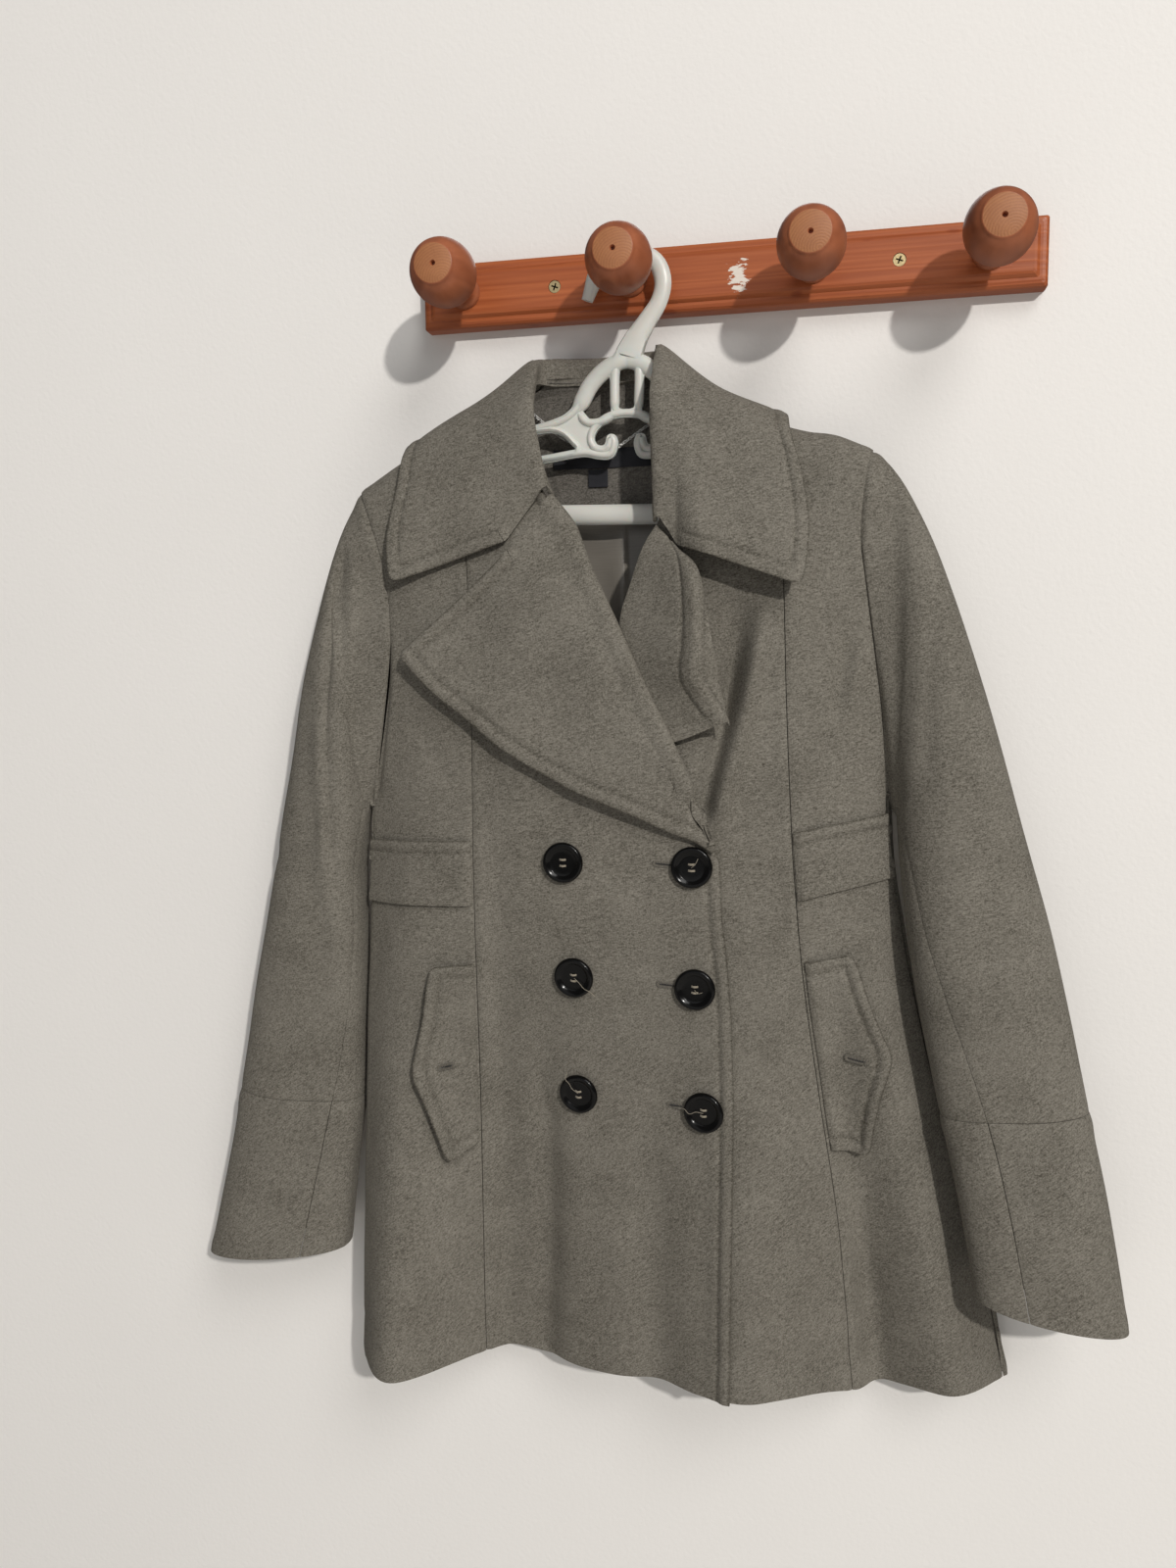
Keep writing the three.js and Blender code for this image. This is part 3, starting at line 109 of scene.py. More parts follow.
class Finish:
    """A material and the few calls that lay out its nodes."""

    def __init__(self, name, **shader):
        self.material = bpy.data.materials.new(name)
        self.material.use_nodes = True
        self.tree = self.material.node_tree
        self.shader = self.tree.nodes["Principled BSDF"]
        for key, value in shader.items():
            self.set(key.replace("_", " ").title().replace("Ior", "IOR"), value)

    def set(self, socket, value):
        self.put(self.shader.inputs[socket], value)

    def put(self, socket, value):
        if isinstance(value, Tone):
            self.tree.links.new(value.socket, socket)
        elif isinstance(value, tuple) and len(value) == 3 and len(socket.default_value) == 4:
            socket.default_value = (*value, 1)
        else:
            socket.default_value = value

    def node(self, kind, settings=None, inputs=None, out=0):
        made = self.tree.nodes.new(kind)
        for key, value in (settings or {}).items():
            setattr(made, key, value)
        for key, value in (inputs or {}).items():
            self.put(made.inputs[key], value)
        return Tone(self, made.outputs[out])

    def place(self):
        return self.node("ShaderNodeTexCoord", out="Object")

    def along(self, lengths, turn=(0, 0, 0)):
        """Object coordinates in a turned frame, counted in the given lengths."""
        return self.node("ShaderNodeMapping", {"vector_type": "TEXTURE"},
                         {"Vector": self.place(), "Rotation": turn, "Scale": lengths})

    def noise(self, vector, scale=1, detail=2, rough=0.5):
        return self.node("ShaderNodeTexNoise", None,
                         {"Vector": vector, "Scale": scale, "Detail": detail, "Roughness": rough})

    def split(self, vector):
        made = self.tree.nodes.new("ShaderNodeSeparateXYZ")
        self.put(made.inputs[0], vector)
        return [Tone(self, made.outputs[i]) for i in range(3)]

    def mix(self, factor, first, second):
        made = self.tree.nodes.new("ShaderNodeMix")
        made.data_type = "RGBA"
        for i, value in ((0, factor), (6, first), (7, second)):
            self.put(made.inputs[i], value)
        return Tone(self, made.outputs[2])

    def done(self, colour, height=None, strength=1.0):
        """The material, with its colour and a bump of the given height in millimetres."""
        self.set("Base Color", colour)
        if height is not None:
            bump = {"Height": height, "Distance": MM, "Strength": strength}
            self.set("Normal", self.node("ShaderNodeBump", None, bump, "Normal"))
        return self.material


def paint(red, green, blue):
    """A colour from its 0 to 255 values."""
    def linear(c):
        c /= 255
        return c / 12.92 if c <= 0.04045 else ((c + 0.055) / 1.055) ** 2.4
    return (linear(red), linear(green), linear(blue))


# ------------------------------------------------------------------------------------ finishes
def wool_finish(name, light, dark, stitched=True):
    """Flecked twill, drawn in along the topstitching, with painted shade in the topstitching groove and
    a painted dark line along each free edge where the cloth turns under.
    """
    f = Finish(name, roughness=0.92, sheen_weight=0.25, sheen_roughness=0.6)
    f.set("Specular IOR Level", 0.12)
    f.set("Sheen Tint", (*light, 1))
    height = f.split(f.place())[2]
    low = 1 - height.step(-0.62, -0.46)
    upper = f.noise(f.along((0.004, 0.0022, 0.001), (0, math.radians(-14), 0)), detail=3, rough=0.6)
    lower = f.noise(f.along((0.0044, 0.0022, 0.001), (0, math.radians(-37), 0)), detail=3, rough=0.6)
    slub = upper * (1 - low) + lower * low
    curl = f.noise(f.place(), 800, 3, 0.65)
    cloud = f.noise(f.place(), 26, 3)
    fleck = f.noise(f.place(), 950, 1)
    nep = f.noise(f.along((0.0034, 0.0022, 0.0016), (0.4, math.radians(-30), 0.3)), detail=1)
    nep = nep.step(0.66, 0.76)
    tone = (slub - 0.5) * 1.3 + (curl - 0.5) * 1.2 + (cloud - 0.5) * 0.45
    tone = tone + (fleck - 0.5) * 0.9 - nep * 0.24 + 0.5
    bump = slub * 0.55 + curl * 0.42 + fleck * 0.1
    if stitched:
        from_edge, along, _ = f.split(f.node("ShaderNodeUVMap", {"uv_map": "stitching"}, out="UV"))
        groove = from_edge.bell(STITCH * MM, 0.0022)
        dash = (along * (2 * math.pi / STITCH_LENGTH)).sine() * 0.5 + 0.5
        line = from_edge.bell(STITCH * MM, 0.0008)
        bump = bump - groove * 0.8 - line * dash * 0.2
        # Painted shade: the topstitching groove and its stitch dashes are darkened, and the last
        # millimetre at each free edge gets a painted dark line where the cloth turns under.
        tone = tone - groove * 0.09 - line * dash * 0.1 - from_edge.bell(0, 0.0011) * 0.42
    return f.done(f.mix(tone.step(-0.25, 1.25), dark, light), bump, 0.8)


WOOL = wool_finish("wool_melange", paint(142, 137, 127), paint(70, 66, 58))
FACING = wool_finish("wool_facing", paint(132, 127, 120), paint(64, 61, 55), stitched=False)


def satin_finish():
    f = Finish("lining_satin", roughness=0.34, sheen_weight=0.1)
    f.set("Specular IOR Level", 0.45)
    thread = f.noise(f.along((0.02, 0.02, 0.0004)), detail=1)
    cross = f.noise(f.along((0.0004, 0.02, 0.02)), detail=1)
    cloud = f.noise(f.place(), 22, 2)
    colour = f.mix(thread * 0.5 + cloud * 0.5, paint(107, 102, 94), paint(141, 135, 126))
    return f.done(colour, thread * 0.06 + cross * 0.06 + cloud * 0.9)


def label_finish():
    f = Finish("label_navy", roughness=0.7, sheen_weight=0.2)
    warp = f.noise(f.along((0.0003, 0.01, 0.003)), detail=1)
    weft = f.noise(f.along((0.003, 0.01, 0.0003)), detail=1)
    return f.done(f.mix(warp * 0.5 + weft * 0.5, paint(10, 10, 15), paint(32, 33, 42)),
                  warp * 0.15 + weft * 0.15)


def plastic_finish():
    f = Finish("hanger_plastic", roughness=0.36, subsurface_weight=0.12, subsurface_scale=0.004)
    flow = f.noise(f.along((0.05, 0.02, 0.012)), detail=2)
    scuff = f.noise(f.place(), 240, 3)
    f.set("Roughness", scuff * 0.16 + 0.28)
    return f.done(f.mix(flow, paint(203, 201, 193), paint(216, 215, 208)),
                  flow * 0.18 + scuff * 0.03)


def pine_finish(name, light, dark, knots, grain, rings, chips=False):
    """Stained pine. grain holds the lengths of a fibre along x, y and z."""
    f = Finish(name, roughness=0.45, coat_weight=0.12, coat_roughness=0.28)
    f.set("Specular IOR Level", 0.3)
    fibre = f.noise(f.along(grain), detail=3, rough=0.6)
    band = f.noise(f.along(tuple(g * 3.2 for g in grain)), detail=2)
    year = ((f.split(f.place())[2] * rings + band * 6) * (2 * math.pi)).sine() * 0.5 + 0.5
    tone = fibre * 0.5 + band * 0.4 + year * 0.14
    colour = f.mix(tone.step(0.05, 1.0), dark, light)
    colour = f.mix((1 - f.noise(f.along(knots), detail=1).step(0.22, 0.3)) * 0.7, colour, dark)
    if chips:
        across, deep, high = f.split(f.place())
        bare = f.noise(f.along((0.012, 0.01, 0.004)), detail=4, rough=0.7)
        worn = bare + across.bell(0.0135, 0.011) * high.bell(-0.003, 0.017) * 0.5
        chip = worn.step(0.87, 0.9) * (1 - deep.step(-0.012, -0.008))
        colour = f.mix(chip, colour, paint(226, 216, 204))
    f.set("Roughness", fibre * 0.25 + 0.3)
    return f.done(colour, fibre * 0.22 + year * 0.08)


def end_grain_finish(name, centre):
    f = Finish(name, roughness=0.6)
    to_pith = (-centre[0] - 0.006, 0, -centre[1] + 0.011)
    x, _, z = f.split(f.node("ShaderNodeMapping", None, {"Vector": f.place(), "Location": to_pith}))
    waver = f.noise(f.place(), 90, 2)
    ring = ((x * x + z * z).power(0.5) * 3300 + waver * 4).sine() * 0.5 + 0.5
    pore = f.noise(f.place(), 900, 2)
    tone = (ring * 0.2 + waver * 0.45 + pore * 0.35).step(0.1, 0.9)
    return f.done(f.mix(tone, paint(150, 95, 60), paint(175, 116, 73)), ring * 0.06 + pore * 0.12)


def button_finish():
    f = Finish("button_black", roughness=0.2, coat_weight=0.05, coat_roughness=0.1)
    f.set("Specular IOR Level", 0.2)
    swirl = f.noise(f.place(), 130, 3)
    f.set("Roughness", swirl * 0.14 + 0.14)
    return f.done(f.mix(swirl, paint(5, 5, 5), paint(12, 11, 10)), swirl * 0.06)


def metal_finish(name, light, dark, rough, slot=False, metallic=1.0):
    """Worn metal; with a slot, what lies below the head's flat face is painted dark, as painted shade in
    the slot.
    """
    f = Finish(name, metallic=metallic, roughness=rough)
    wear = f.noise(f.place(), 700, 3)
    colour = f.mix(wear, dark, light)
    if slot:
        # Painted shade: the slot below the head's face is coloured near black.
        colour = f.mix(f.split(f.place())[1].step(-0.01735, -0.017), colour, paint(22, 16, 10))
    f.set("Roughness", wear * 0.25 + rough - 0.1)
    return f.done(colour, wear * 0.05)


def thread_finish(name, light, dark):
    f = Finish(name, roughness=0.8, sheen_weight=0.3)
    ply = f.noise(f.place(), 1600, 2)
    return f.done(f.mix(ply, dark, light), ply * 0.2)


SATIN, LABEL, PLASTIC, BUTTON = satin_finish(), label_finish(), plastic_finish(), button_finish()
PINE = pine_finish("pine_stained", paint(190, 108, 63), paint(133, 61, 31), (0.03, 0.02, 0.012),
                   (0.16, 0.02, 0.0035), 90, chips=True)
PEG_PINE = pine_finish("pine_turned", paint(180, 108, 73), paint(125, 67, 42), (0.02, 0.03, 0.02),
                       (0.012, 0.09, 0.012), 24)
BRASS = metal_finish("screw_brass", (0.72, 0.58, 0.32), (0.45, 0.34, 0.18), 0.34, slot=True)
CHAIN = metal_finish("chain_steel", (0.85, 0.84, 0.81), (0.5, 0.49, 0.47), 0.4, metallic=0.45)
PALE_THREAD = thread_finish("button_thread", paint(168, 158, 140), paint(112, 104, 90))
WOOL_THREAD = thread_finish("buttonhole_thread", paint(120, 114, 102), paint(62, 57, 48))
# The buttonhole's slit is a near-black grain: painted shade in the opening.
SLIT_SHADE = thread_finish("buttonhole_shade", paint(30, 27, 23), paint(16, 14, 12))


# ---------------------------------------------------------------------------- the coat's tables
# Each row: share of following the shoulder line, drop below it, height elsewhere, then the stations
# from the left armhole to the right one as (x, depth from the wall) of the cloth's inside.
FRONT = [
    (1, 0, 0, [(-274, 34), (-235, 34), (-196, 34), (-165, 34), (-118, 34), (-80, 34), (-40, 34),
        (-5, 34), (42, 34), (62, 34), (85, 34), (110, 34)]),
    (1, 6, 0, [(-271, 42), (-233, 43), (-194, 43), (-164, 43), (-118, 43), (-80, 43), (-40, 43),
        (-4, 43), (43, 43), (63, 43), (85, 43), (108, 42)]),
    (1, 22, 0, [(-265, 48), (-229, 50), (-191, 51), (-162, 51), (-118, 51), (-80, 51), (-36, 51),
        (-2, 51), (45, 51), (64, 50), (85, 49), (105, 47)]),
    (0.5, 78, -196, [(-253, 50), (-221, 54), (-185, 56), (-158, 57), (-114, 58), (-72, 58), (-26, 58),
        (8, 58), (48, 56), (66, 55), (85, 52), (102, 48)]),
    (0, 0, -252, [(-248, 50), (-218, 56), (-182, 60), (-155, 62), (-108, 63), (-62, 62), (-16, 61),
        (16, 60), (50, 60), (69, 57), (89, 52), (108, 47)]),
    (0, 0, -322, [(-257, 46), (-221, 57), (-181, 63), (-153, 65), (-100, 66), (-50, 65), (0, 64),
        (27, 62), (52, 62), (72, 58), (95, 51), (118, 42)]),
    (0, 0, -390, [(-270, 40), (-228, 58), (-181, 65), (-153, 67), (-96, 68), (-48, 68), (6, 67),
        (31, 65), (55, 64), (75, 60), (98, 52), (122, 38)]),
    (0, 0, -444, [(-273, 38), (-232, 60), (-181, 67), (-154, 66), (-94, 68), (-46, 68), (9, 68),
        (34, 66), (58, 64), (78, 59), (102, 51), (127, 36)]),
    (0, 0, -522, [(-277, 42), (-238, 65), (-181.5, 64), (-155, 60), (-91, 66), (-44, 68), (12, 71),
        (40, 68), (65, 62), (85, 56), (112, 50), (140, 32)]),
    (0, 0, -612, [(-281, 45), (-243, 72), (-183, 57), (-156, 50), (-87, 60), (-43, 63), (14, 73),
        (46, 69), (77, 56), (97, 47), (130, 48), (160, 29)]),
    (0, 0, -702, [(-284, 48), (-247, 79), (-186, 49), (-156, 39), (-85, 54), (-42, 57), (15, 75),
        (49, 70), (90, 49), (110, 37), (150, 47), (183, 25)]),
    (0, 0, -780, [(-287, 50), (-250, 85), (-189, 41), (-157, 29), (-84, 50), (-42, 54), (15, 76),
        (51, 69), (98, 43), (120, 28), (167, 46), (203, 19)]),
    (0, 0, -846.5, [(-288, 52), (-252, 88), (-191, 34), (-158, 22), (-84, 47), (-42, 51), (15, 76),
        (52, 67), (103, 38), (128, 22), (178, 45), (216, 15)]),
]
# The same rows round the back, from the right armhole to the left; None is the front's own end.
BACK = [
    [(110, 32), (90, 32), (40, 32), (-28, 29), (-88, 19), (-140, 29), (-200, 32), (-250, 32),
     (-274, 32)],
    [(108, 25), (88, 23), (40, 22), (-28, 20), (-88, 16), (-140, 20), (-198, 22), (-248, 23),
     (-271, 25)],
    [(105, 21), (85, 18), (40, 16), (-28, 15), (-88, 14), (-140, 15), (-196, 16), (-243, 18),
     (-265, 21)],
    [(102, 20), (82, 15), (38, 13), (-28, 13), (-86, 13), (-140, 13), (-194, 13), (-233, 15),
     (-254, 20)],
    [(106, 20), (84, 14), (38, 12), (-26, 12), (-84, 13), (-140, 12), (-192, 12), (-229, 14),
     (-250, 20)],
    [(116, 24), (96, 14), (44, 11), (-22, 11), (-80, 12), (-138, 11), (-194, 11), (-238, 14),
     (-258, 24)],
    [None, (117, 16), (52, 11), (-18, 11), (-76, 12), (-138, 11), (-200, 11), (-265, 16), None],
    [None, (121, 16), (56, 11), (-16, 11), (-74, 13), (-138, 11), (-203, 11), (-267, 16), None],
    [None, (133, 15), (62, 11), (-12, 11), (-70, 12), (-138, 11), (-206, 11), (-270, 17), None],
    [None, (152, 14), (76, 10), (-6, 11), (-64, 11), (-136, 10), (-210, 11), (-274, 17), None],
    [None, (174, 13), (92, 9), (0, 11), (-58, 10), (-134, 9), (-214, 11), (-277, 17), None],
    [None, (196, 11), (106, 8), (6, 12), (-54, 9), (-132, 8), (-218, 11), (-280, 17), None],
    [None, (210, 9), (116, 8), (10, 12), (-50, 9), (-131, 8), (-220, 11), (-281, 17), None],
]
# Stations of the seams and ends in the two tables, and the row at the underarm.
PRINCESS_L, PRINCESS_R, FRONT_LAST, BACK_CENTRE, BACK_LAST, UNDERARM = 2, 8, 11, 4, 8, 6
SHOULDER = [
    (-275, -149), (-251, -134), (-227, -121), (-207, -109.5), (-180, -95), (-151, -78), (-138, -71),
    (-115, -68), (-89, -68), (-60, -67), (-33, -66), (-17, -78), (0, -90), (19, -102), (43, -112),
    (55, -118), (87, -124), (111, -135)]
LEFT_FRONT_EDGE = [
    (-138, -68), (-134, -120), (-125, -154), (-101, -184), (-89, -217), (-71, -254), (-53, -293),
    (-34, -331), (-16, -368), (-7, -393), (6, -424), (8, -466), (12, -500), (15, -536), (17, -600),
    (17, -656), (16, -740), (15, -850)]
RIGHT_FRONT_EDGE = [
    (-29, -62), (-30, -100), (-36, -150), (-39, -181), (-46, -192), (-57, -222), (-70, -254),
    (-100, -340), (-129, -425), (-128, -600), (-127, -850)]
# Lapel rows: roll line, middle and outer edge as (x, z), then the puff or rise over the front.
LEFT_LAPEL = [
    ((-120, -162), (-149, -200), (-234, -272), 3), ((-108, -178), (-147, -226), (-207, -300), 4),
    ((-89, -217), (-126, -262), (-177, -322), 5), ((-71, -254), (-101, -292), (-147, -345), 5),
    ((-53, -293), (-77, -324), (-106, -367), 4), ((-34, -331), (-48, -355), (-62, -386), 3),
    ((-16, -368), (-22, -384), (-28, -402), 2), ((-5, -395), (-8, -402), (-12, -408.5), 1),
    ((3, -411), (2, -413.5), (1, -417), 0.5)]
RIGHT_LAPEL = [
    ((-40, -183), (-33, -191), (-25, -201), 4), ((-50, -200), (-33, -205), (-15, -214), 12),
    ((-58, -223), (-37, -232), (-12, -241), 17), ((-66, -250), (-41, -260), (-12, -268), 18),
    ((-63, -279), (-41, -285), (-13, -292), 15), ((-57, -310), (-34, -311), (-4, -306), 11),
    ((-44, -340), (-22, -336), (9, -323), 8)]
RIGHT_LIP = [(-19, -205), (-11, -217), (-4, -241), (0, -267), (4, -294), (7, -310), (10, -326)]
# Collar rows from the left front end round the neck to the right front end: neck seam, inside and
# outside of the fold, middle, outer edge. Rows on the front are (x, z, height over its inside).
COLLAR = [
    ("front", (-115.5, -160, 6.5), (-117.5, -158, 10), (-122.5, -156, 12.3), (-151, -192, 10.5),
     (-240.5, -219, 7)),
    ("front", (-129.5, -130, 3), (-125.5, -127, 11), (-131, -125, 15), (-176, -158, 11),
     (-243, -187, 7.5)),
    ("front", (-133, -104, 3), (-129.5, -99, 13), (-135, -97, 16), (-180, -125, 12),
     (-236, -152, 9)),
    ("xyz", (-135.5, -42, -86), (-132, -45, -70), (-137, -47, -65), (-182, -52, -95),
     (-232, -55, -124)),
    ("xyz", (-136, -33, -74), (-132.5, -31, -61.5), (-139, -31, -58.5), (-181, -32, -89),
     (-228, -33, -113.5)),
    ("xyz", (-123, -23, -74), (-126, -21, -58), (-130, -12, -55.5), (-166, -7, -87.5),
     (-204, -6.5, -120)),
    ("xyz", (-104, -20, -74), (-106, -17, -58), (-107, -8.5, -55), (-120, -3.5, -88),
     (-134, -5, -134)),
    ("xyz", (-88, -20, -74), (-88, -17, -58), (-88, -8, -55.5), (-88, -3.5, -90), (-88, -5, -138)),
    ("xyz", (-70, -20.5, -73.5), (-70, -17, -57.5), (-68, -8.5, -54.5), (-56, -3.5, -88),
     (-42, -5, -134)),
    ("xyz", (-44, -24, -71), (-47, -21, -57), (-44, -12, -54), (-9, -7, -82.5), (26, -5.5, -113)),
    ("xyz", (-33, -33, -70), (-43, -31, -57.5), (-39, -31, -53), (3, -32, -84),
     (47.5, -33, -105.5)),
    ("xyz", (-32, -44.5, -76), (-41.5, -45.5, -69), (-38, -47.5, -64.5), (5, -52, -96),
     (53, -55, -122)),
    ("front", (-33.5, -104, 4), (-42, -100, 11), (-38, -97, 16), (7, -132, 12), (61, -152, 9)),
    ("front", (-38.5, -142, 4), (-42, -138, 10), (-36, -135, 15), (10, -172, 12), (66, -190, 8)),
    ("front", (-40.5, -181, 6), (-41, -180, 9.5), (-36.5, -179, 11.5), (-24, -198, 11),
     (62, -229, 8))]
# Pocket flaps: height at the seam, then the shaped outer edge.
POCKET_LEFT = [
    (-508, -213, -511), (-514, -217, -517), (-545, -222, -549), (-570, -228, -575), (-590, -231, -596),
    (-611, -224, -619), (-634, -217, -644), (-648, -213, -660), (-654, -209, -665)]
POCKET_RIGHT = [
    (-497, 95, -492), (-503, 101, -497), (-528, 110, -525), (-550, 119, -550), (-568, 125.5, -570),
    (-596, 122, -600), (-620, 119.5, -624), (-636, 118, -639), (-642, 113, -643.5)]
# Waist tabs: top and bottom height at the princess seam and at the side.
WAIST_LEFT, WAIST_RIGHT = (-412.5, -417, -462.5, -467), (-402, -390, -452, -437)
# Sleeve rows: inner and outer (x, z), centre depth, half depth, place of the front and back seams
# across the sleeve, place and height of the soft ridge down the front.
SLEEVE_LEFT = [
    ((-275, -394), (-288, -172), 34, 19, 0.02, 0.02, 0.93, 3),
    ((-277, -399), (-301, -206), 35, 22, 0.03, 0.05, 0.8, 6),
    ((-279, -412), (-321, -272), 36, 24, 0.03, 0.1, 0.52, 8),
    ((-282, -442), (-337.5, -350), 36, 26, 0.04, 0.16, 0.32, 8),
    ((-282.5, -505), (-358, -448), 36, 27, 0.05, 0.22, 0.15, 5),
    ((-285.5, -571), (-377.5, -536), 36, 27, 0.1, 0.27, 0.1, 2),
    ((-289, -631), (-396.5, -629), 36, 27, 0.18, 0.3, 0.1, 0),
    ((-297, -694), (-411, -698), 38, 27, 0.23, 0.3, 0.1, 0),
    ((-305, -758), (-430, -773), 40, 28, 0.27, 0.3, 0.1, 0)]
SLEEVE_RIGHT = [
    ((127, -388), (124, -146), 34, 20, 0.02, 0.02, 0.6, 0),
    ((130, -393), (139, -170), 37, 25, 0.03, 0.05, 0.6, 0),
    ((131, -404), (160, -218), 41, 29, 0.05, 0.1, 0.6, 1),
    ((133, -430), (190, -308), 45, 31, 0.08, 0.16, 0.5, 2),
    ((139, -480), (217, -404), 49, 31, 0.13, 0.22, 0.4, 2),
    ((147, -530), (239, -483), 52, 29, 0.2, 0.27, 0.3, 2),
    ((163, -606), (264, -597), 56, 26, 0.3, 0.3, 0.3, 0),
    ((178, -675), (279, -666), 59, 25, 0.32, 0.3, 0.3, 0),
    ((190, -740), (295, -756), 61, 26, 0.33, 0.3, 0.3, 0)]
CUFF_ROW = 7
# Inside the neck: height, left and right.
NECK_FACING = [(-69.5, -128, -44), (-80, -142, -32), (-95, -150, -26), (-130, -152, -24),
               (-164, -152, -24)]
LINING = [(-165, -162, -12), (-248, -160, -10), (-330, -158, -6)]
PLEAT_X = -72
NECK_LABEL = [(-119.5, -126, -51), (-134, -126, -51)]
SIZE_TAB = [(-135, -99, -84), (-148, -99, -84)]
BUTTONS = {"button_left_top": (-109, -426), "button_left_middle": (-102, -513),
           "button_left_bottom": (-100.5, -605.5), "button_right_top": (-14, -427.5),
           "button_right_middle": (-11, -517), "button_right_bottom": (-3.5, -609.5)}

# Creases of the front, as (x, z) paths: depth (below zero for a ridge), half width, and the shares
# of the length over which the crease fades in and out.
FRONT_CREASES = [
    (((-131, -500), (-131, -600), (-133, -689), (-143, -845)), 5.5, 13, 0.5, 0.02),
    (((-112, -560), (-110, -700), (-113, -845)), -1.8, 16, 0.5, 0.02),
    (((17, -214), (14, -262), (7, -308), (0, -345)), 6.0, 13, 0.3, 0.3),
    (((20, -240), (15, -278), (7, -326), (-2, -365), (-10, -400)), 10.0, 6.5, 0.4, 0.1),
    (((38, -228), (32, -274), (21, -326), (10, -368), (1, -402)), -8.5, 8, 0.3, 0.15),
    (((99, -250), (91, -293), (84, -334)), 5.0, 6, 0.4, 0.4),
    (((106, -248), (99, -290), (93, -328)), -2.8, 6.5, 0.4, 0.4),
    (((-46, -640), (-44, -740), (-43, -845)), 2.2, 15, 0.5, 0.02),
    (((-8, -620), (-5, -740), (-3, -845)), 1.6, 9, 0.5, 0.02),
    (((-96, -430), (-60, -437), (-26, -430)), 0.9, 9, 0.4, 0.4),
    (((-92, -522), (-55, -532), (-20, -524)), 0.9, 10, 0.4, 0.4),
    (((-180, -560), (-168, -640), (-176, -740)), -1.4, 12, 0.4, 0.4),
    (((-236, -300), (-214, -345), (-190, -380)), 1.4, 9, 0.4, 0.4),
    (((-249, -240), (-256, -318), (-268, -385)), 3.0, 3.5, 0.4, 0.05),
    (((-214, -680), (-222, -760), (-226, -845)), 2.0, 13, 0.5, 0.02),
    (((60, -470), (66, -560), (70, -640)), 1.2, 10, 0.4, 0.4),
    (((96, -660), (118, -760), (128, -845)), 2.4, 9, 0.5, 0.02),
]
SLEEVE_CREASES = {
    "left": [
        (((-284, -180), (-291, -225), (-296, -271), (-299, -307), (-298, -362), (-297, -430),
          (-292, -490)), 5.5, 5.5, 0.12, 0.3),
        (((-274, -190), (-282, -271), (-287, -330), (-286, -400), (-282, -470)), -2.2, 5, 0.15, 0.3),
        (((-322, -420), (-350, -432), (-372, -425)), 1.8, 8, 0.4, 0.3),
        (((-330, -520), (-352, -560), (-385, -580)), -1.6, 12, 0.4, 0.4),
        (((-340, -650), (-372, -640), (-400, -620)), 1.2, 11, 0.4, 0.4),
        (((-318, -560), (-330, -640), (-346, -720)), 1.4, 12, 0.4, 0.3)],
    "right": [
        (((148, -200), (150, -260), (148, -330), (150, -400)), 2.4, 8, 0.3, 0.4),
        (((160, -470), (186, -486), (214, -474)), 1.8, 9, 0.4, 0.4),
        (((158, -510), (186, -530), (222, -526)), -1.6, 9, 0.4, 0.4),
        (((186, -300), (190, -380), (204, -450)), -1.4, 12, 0.4, 0.4),
        (((200, -560), (212, -640), (226, -720)), 1.4, 12, 0.4, 0.3)],
}
BACK_CREASES = [
    (((-150, -200), (-146, -420), (-150, -640), (-160, -845)), 2.0, 16, 0.3, 0.02),
    (((0, -200), (8, -420), (30, -640), (50, -845)), 2.0, 18, 0.3, 0.02),
    (((-230, -380), (-180, -402), (-120, -398)), 1.4, 12, 0.4, 0.4),
    (((90, -370), (40, -394), (-20, -390)), 1.4, 12, 0.4, 0.4),
]


# ------------------------------------------------------------------------- curves and surfaces
def smooth(value):
    t = np.clip(value, 0, 1)
    return t * t * (3 - 2 * t)


def between(first, last, share):
    """Rows of numbers that run from each of first to each of last."""
    return first[:, None] * (1 - share) + last[:, None] * share


def bell(value, middle, width):
    return np.exp(-(((value - middle) / width) ** 2))


def stitched_border(edge, rise, at, wide, sink, sunk_wide):
    """Height of a topstitched border: raised beside the edge, drawn in along the stitches."""
    return rise * bell(edge, at, wide) - sink * bell(edge, STITCH, sunk_wide)


def blend_weights(count, at):
    """Catmull-Rom weights of count rows at each place of at."""
    at = np.asarray(at, float).ravel()
    k = np.clip(np.floor(at), 0, count - 2).astype(int)
    f = np.clip(at - k, 0, 1)
    parts = (-0.5 * f + f**2 - 0.5 * f**3, 1 - 2.5 * f**2 + 1.5 * f**3,
             0.5 * f + 2 * f**2 - 1.5 * f**3, -0.5 * f**2 + 0.5 * f**3)
    weights = np.zeros((at.size, count))
    for i, part in enumerate(parts):
        np.add.at(weights, (np.arange(at.size), np.clip(k + i - 1, 0, count - 1)), part)
    return weights


def surface(grid, s, v):
    """Points of a control grid, rows by columns, at station s and row v."""
    s, v = np.broadcast_arrays(np.asarray(s, float), np.asarray(v, float))
    rows = np.tensordot(blend_weights(grid.shape[0], v), grid, 1)
    return np.einsum("nkc,nk->nc", rows, blend_weights(grid.shape[1], s))


def sampled(grid, s, v):
    """The grid of points at every station of s, by rows at v."""
    return surface(grid, np.tile(s, len(v)), np.repeat(v, len(s))).reshape(len(v), len(s), 3)


def curve_through(points, at):
    return blend_weights(len(points), at) @ np.asarray(points, float)


